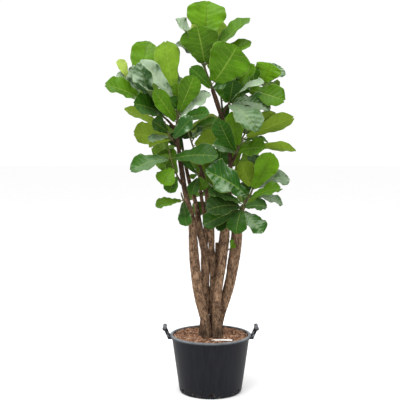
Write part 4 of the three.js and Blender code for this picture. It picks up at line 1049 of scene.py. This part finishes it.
def add_leaf(piece, root, tip, listed, azimuth, elevation, arch, look, number):
    """A leaf: a wavy quilted blade with an upper side, an underside and a rib, and its stalk."""
    width = FULLNESS * listed
    length = np.linalg.norm(tip - root)
    axis = unit(tip - root)
    turn, lift = math.radians(azimuth), math.radians(elevation)
    facing = np.array([math.sin(turn) * math.cos(lift), -math.cos(turn) * math.cos(lift),
                       math.sin(lift)])
    normal = unit(facing - axis * (facing @ axis))
    side = np.cross(normal, axis)
    top_colour, low_colour, pale, sheen = LOOKS[look]
    fold = width * (0.08 + 0.11 * draw(number, FOLD))
    wave = width * (0.03 + 0.035 * draw(number, WAVE)) * (1 + sheen)
    phase = 2 * math.pi * draw(number, PHASE)
    sweep = length * 0.05 * (draw(number, SWEEP) - 0.5)

    def at(share, across, off):
        """Places at a share of the length, so far across and so far off towards the facing."""
        bow = 4 * share * (1 - share)
        return (root + axis * (share * length)[..., None]
                + normal * (arch * length * bow + off)[..., None]
                + side * (across + sweep * bow)[..., None])

    stations = int(np.clip(22 + width / 7, 24, 46))
    t = (1 - np.cos(np.linspace(0, math.pi, stations))) / 2 * 0.6 + np.linspace(0, 1, stations) * 0.4
    t, u = np.meshgrid(t, COLUMNS, indexing="ij")
    out = np.abs(u)
    notch = 0.015 + 0.035 * draw(number, NOTCH)
    tip_shape = 0.05 * out**2 + notch * np.exp(-((u / 0.2) ** 2))
    along = t - tip_shape * smoothstep(0.72, 1.0, t) - 0.025 * out**2 * (1 - smoothstep(0, 0.12, t))
    swell = 0.035 * np.sin(EDGE_TURNS * t + phase)
    swell = swell + 0.02 * np.sin(FINE_EDGE_TURNS * t + 2 * phase + u)
    edge = half_width(t) * (1 + swell)
    across = u * width / 2 * edge
    raised = np.where(u > 0, np.sin(WAVE_TURNS * t + phase), np.sin(WAVE_TURNS * t + phase + 2))
    lifts = fold * edge**2 * (0.75 * out + 0.25 * out**2)
    lifts += wave * edge * raised * (0.4 * out + 0.6 * out**2)
    lifts += 0.02 * width * out**3 * np.sin(FINE_WAVE_TURNS * t + 3 * phase + u)
    vein = (t - 0.2 * out**1.25) * LATERAL_VEINS + 0.17
    sunk = np.exp(-((vein - np.floor(vein) - 0.5) / 0.17) ** 2) * (1 - out**4)
    lifts -= (0.016 + 0.014 * sheen) * width * sunk * smoothstep(0, 0.08, out)
    lifts -= 0.012 * width * np.exp(-((u / 0.07) ** 2)) * (1 - t)
    middle = at(STALK_SHARE + (1 - STALK_SHARE) * along, across, lifts)
    outward = np.cross(np.gradient(middle, axis=0), np.gradient(middle, axis=1))
    outward /= np.maximum(np.linalg.norm(outward, axis=2), 1e-9)[..., None]
    rib = RIB_DEPTH * (1 - t) * np.exp(-((across / RIB_WIDTH) ** 2))
    upper = middle + outward * BLADE_HALF
    under = middle - outward * (BLADE_HALF + rib)[..., None]
    size = t.size
    faces, slots = sheet_faces(stations, len(COLUMNS))
    tints = np.vstack([np.tile(linear(colour), (size, 1)) for colour in (top_colour, low_colour)])
    tints[:, :3] *= 0.88 + 0.24 * draw(number, SHADE)
    # the tint's alpha carries how much painted sheen (a painted highlight) the upper side gets
    tints[:, 3] = sheen
    blade = np.column_stack([u.ravel(), t.ravel(), np.full(size, pale)])
    piece.add(np.vstack([upper.reshape(-1, 3), under.reshape(-1, 3)]), faces, slots,
              tint=tints, blade=np.vstack([blade, blade]), bark=(0, 0, 0))
    share = np.linspace(0, STALK_SHARE + STALK_OVER_BLADE, STALK_RINGS)
    stalk = at(share, 0 * share, 0 * share - 0.8)
    thick = min(STALK_AT_MOST, width * 0.04)
    radii = np.linspace(thick * 1.15, thick * 0.75, STALK_RINGS)
    radii[0] *= 1.25
    piece.add(tube(stalk, radii, STALK_SIDES), tube_faces(STALK_RINGS, STALK_SIDES), 2, bark=(0, 0.8, 0),
              tint=linear(low_colour), blade=(0, 0, 0))


def add_twig(piece, route):
    """A leafy shoot's twig with its closed end bud in a papery sheath."""
    path, radii = limb_line(route, TWIG_STEP)
    run = np.linspace(0, 1, len(path))
    rings = 1 + 0.10 * np.exp(-((np.mod(run * len(route) * 1.7, 1) - 0.5) / 0.12) ** 2)
    points = tube(path, radii * rings, TWIG_SIDES)
    upper_share = np.repeat(0.15 + 0.75 * run, TWIG_SIDES)
    zeros = np.zeros(len(points))
    piece.add(points, tube_faces(len(path), TWIG_SIDES), 2,
              bark=np.column_stack([zeros, upper_share, zeros]))
    heading = unit(path[-1] - path[-3])
    share = np.linspace(0, 1, BUD_RINGS)
    size = radii[-1]
    bud = path[-1] + heading * (share * size * 7)[:, None] + np.outer(share**2, (1, -1, 1)) * size * 0.6
    thick = size * 1.25 * np.sqrt(np.maximum(1 - share**1.6, 0.006))
    piece.add(tube(bud, thick, BUD_SIDES), tube_faces(BUD_RINGS, BUD_SIDES), 2, bark=(0.35, 0.6, 0))


for order, (name, (route, leaves)) in enumerate(SHOOTS.items()):
    piece = Piece(name + "_leaves")
    add_twig(piece, route)
    for i, (place, x, z, y, width, azimuth, elevation, arch, look) in enumerate(leaves):
        add_leaf(piece, place_on(route, place), seen(x, z, y), width, azimuth, elevation,
                 arch / 100, look, order * LEAVES_AT_MOST + i)
    place_piece(piece.build(leaf_upper, leaf_under, twig_skin), name)

# ---------------- floor, light and camera

SKY_STRENGTH = 1.04
CAMERA_TILT = 3.88  # degrees down
FOCAL_PIXELS, IMAGE_SIDE, SENSOR_WIDTH = 785.5, 400, 36
FLOOR_SIDES, FLOOR_RADIUS = 96, 60

bpy.ops.mesh.primitive_circle_add(vertices=FLOOR_SIDES, radius=FLOOR_RADIUS, fill_type="NGON",
                                  location=(0, 0, 0))
floor = bpy.context.object
floor.name = "floor"
floor.data.materials.append(floor_material("floor"))

scene = bpy.context.scene
world = bpy.data.worlds.new("studio")
scene.world = world
world.use_nodes = True
sky = world.node_tree.nodes["Background"].inputs
sky["Color"].default_value = (1, 1, 1, 1)
sky["Strength"].default_value = SKY_STRENGTH


def add_light(name, place, target, size, power):
    """A round white light: places and size in metres, power in watts."""
    data = bpy.data.lights.new(name, "AREA")
    data.shape, data.size, data.energy = "DISK", size, power
    lamp = bpy.data.objects.new(name, data)
    lamp.location = place
    lamp.rotation_euler = (Vector(target) - Vector(place)).to_track_quat("-Z", "Y").to_euler()
    scene.collection.objects.link(lamp)


add_light("overhead", (-1.4, -2.6, 7.6), (0, 0, 1.4), 4.5, 380)
add_light("fill", (2.8, -3.4, 2.4), (0, 0, 1.2), 2.0, 25)
add_light("back", (0.8, 3.2, 4.6), (0, 0, 1.6), 2.4, 60)

scene.view_settings.view_transform = "Standard"

camera_data = bpy.data.cameras.new("camera")
camera = bpy.data.objects.new("camera", camera_data)
scene.collection.objects.link(camera)
scene.camera = camera
camera_data.sensor_width = SENSOR_WIDTH
camera_data.lens = FOCAL_PIXELS / IMAGE_SIDE * SENSOR_WIDTH
camera.location = [value * MM for value in EYE]
camera.rotation_euler = (math.radians(90 - CAMERA_TILT), 0, 0)
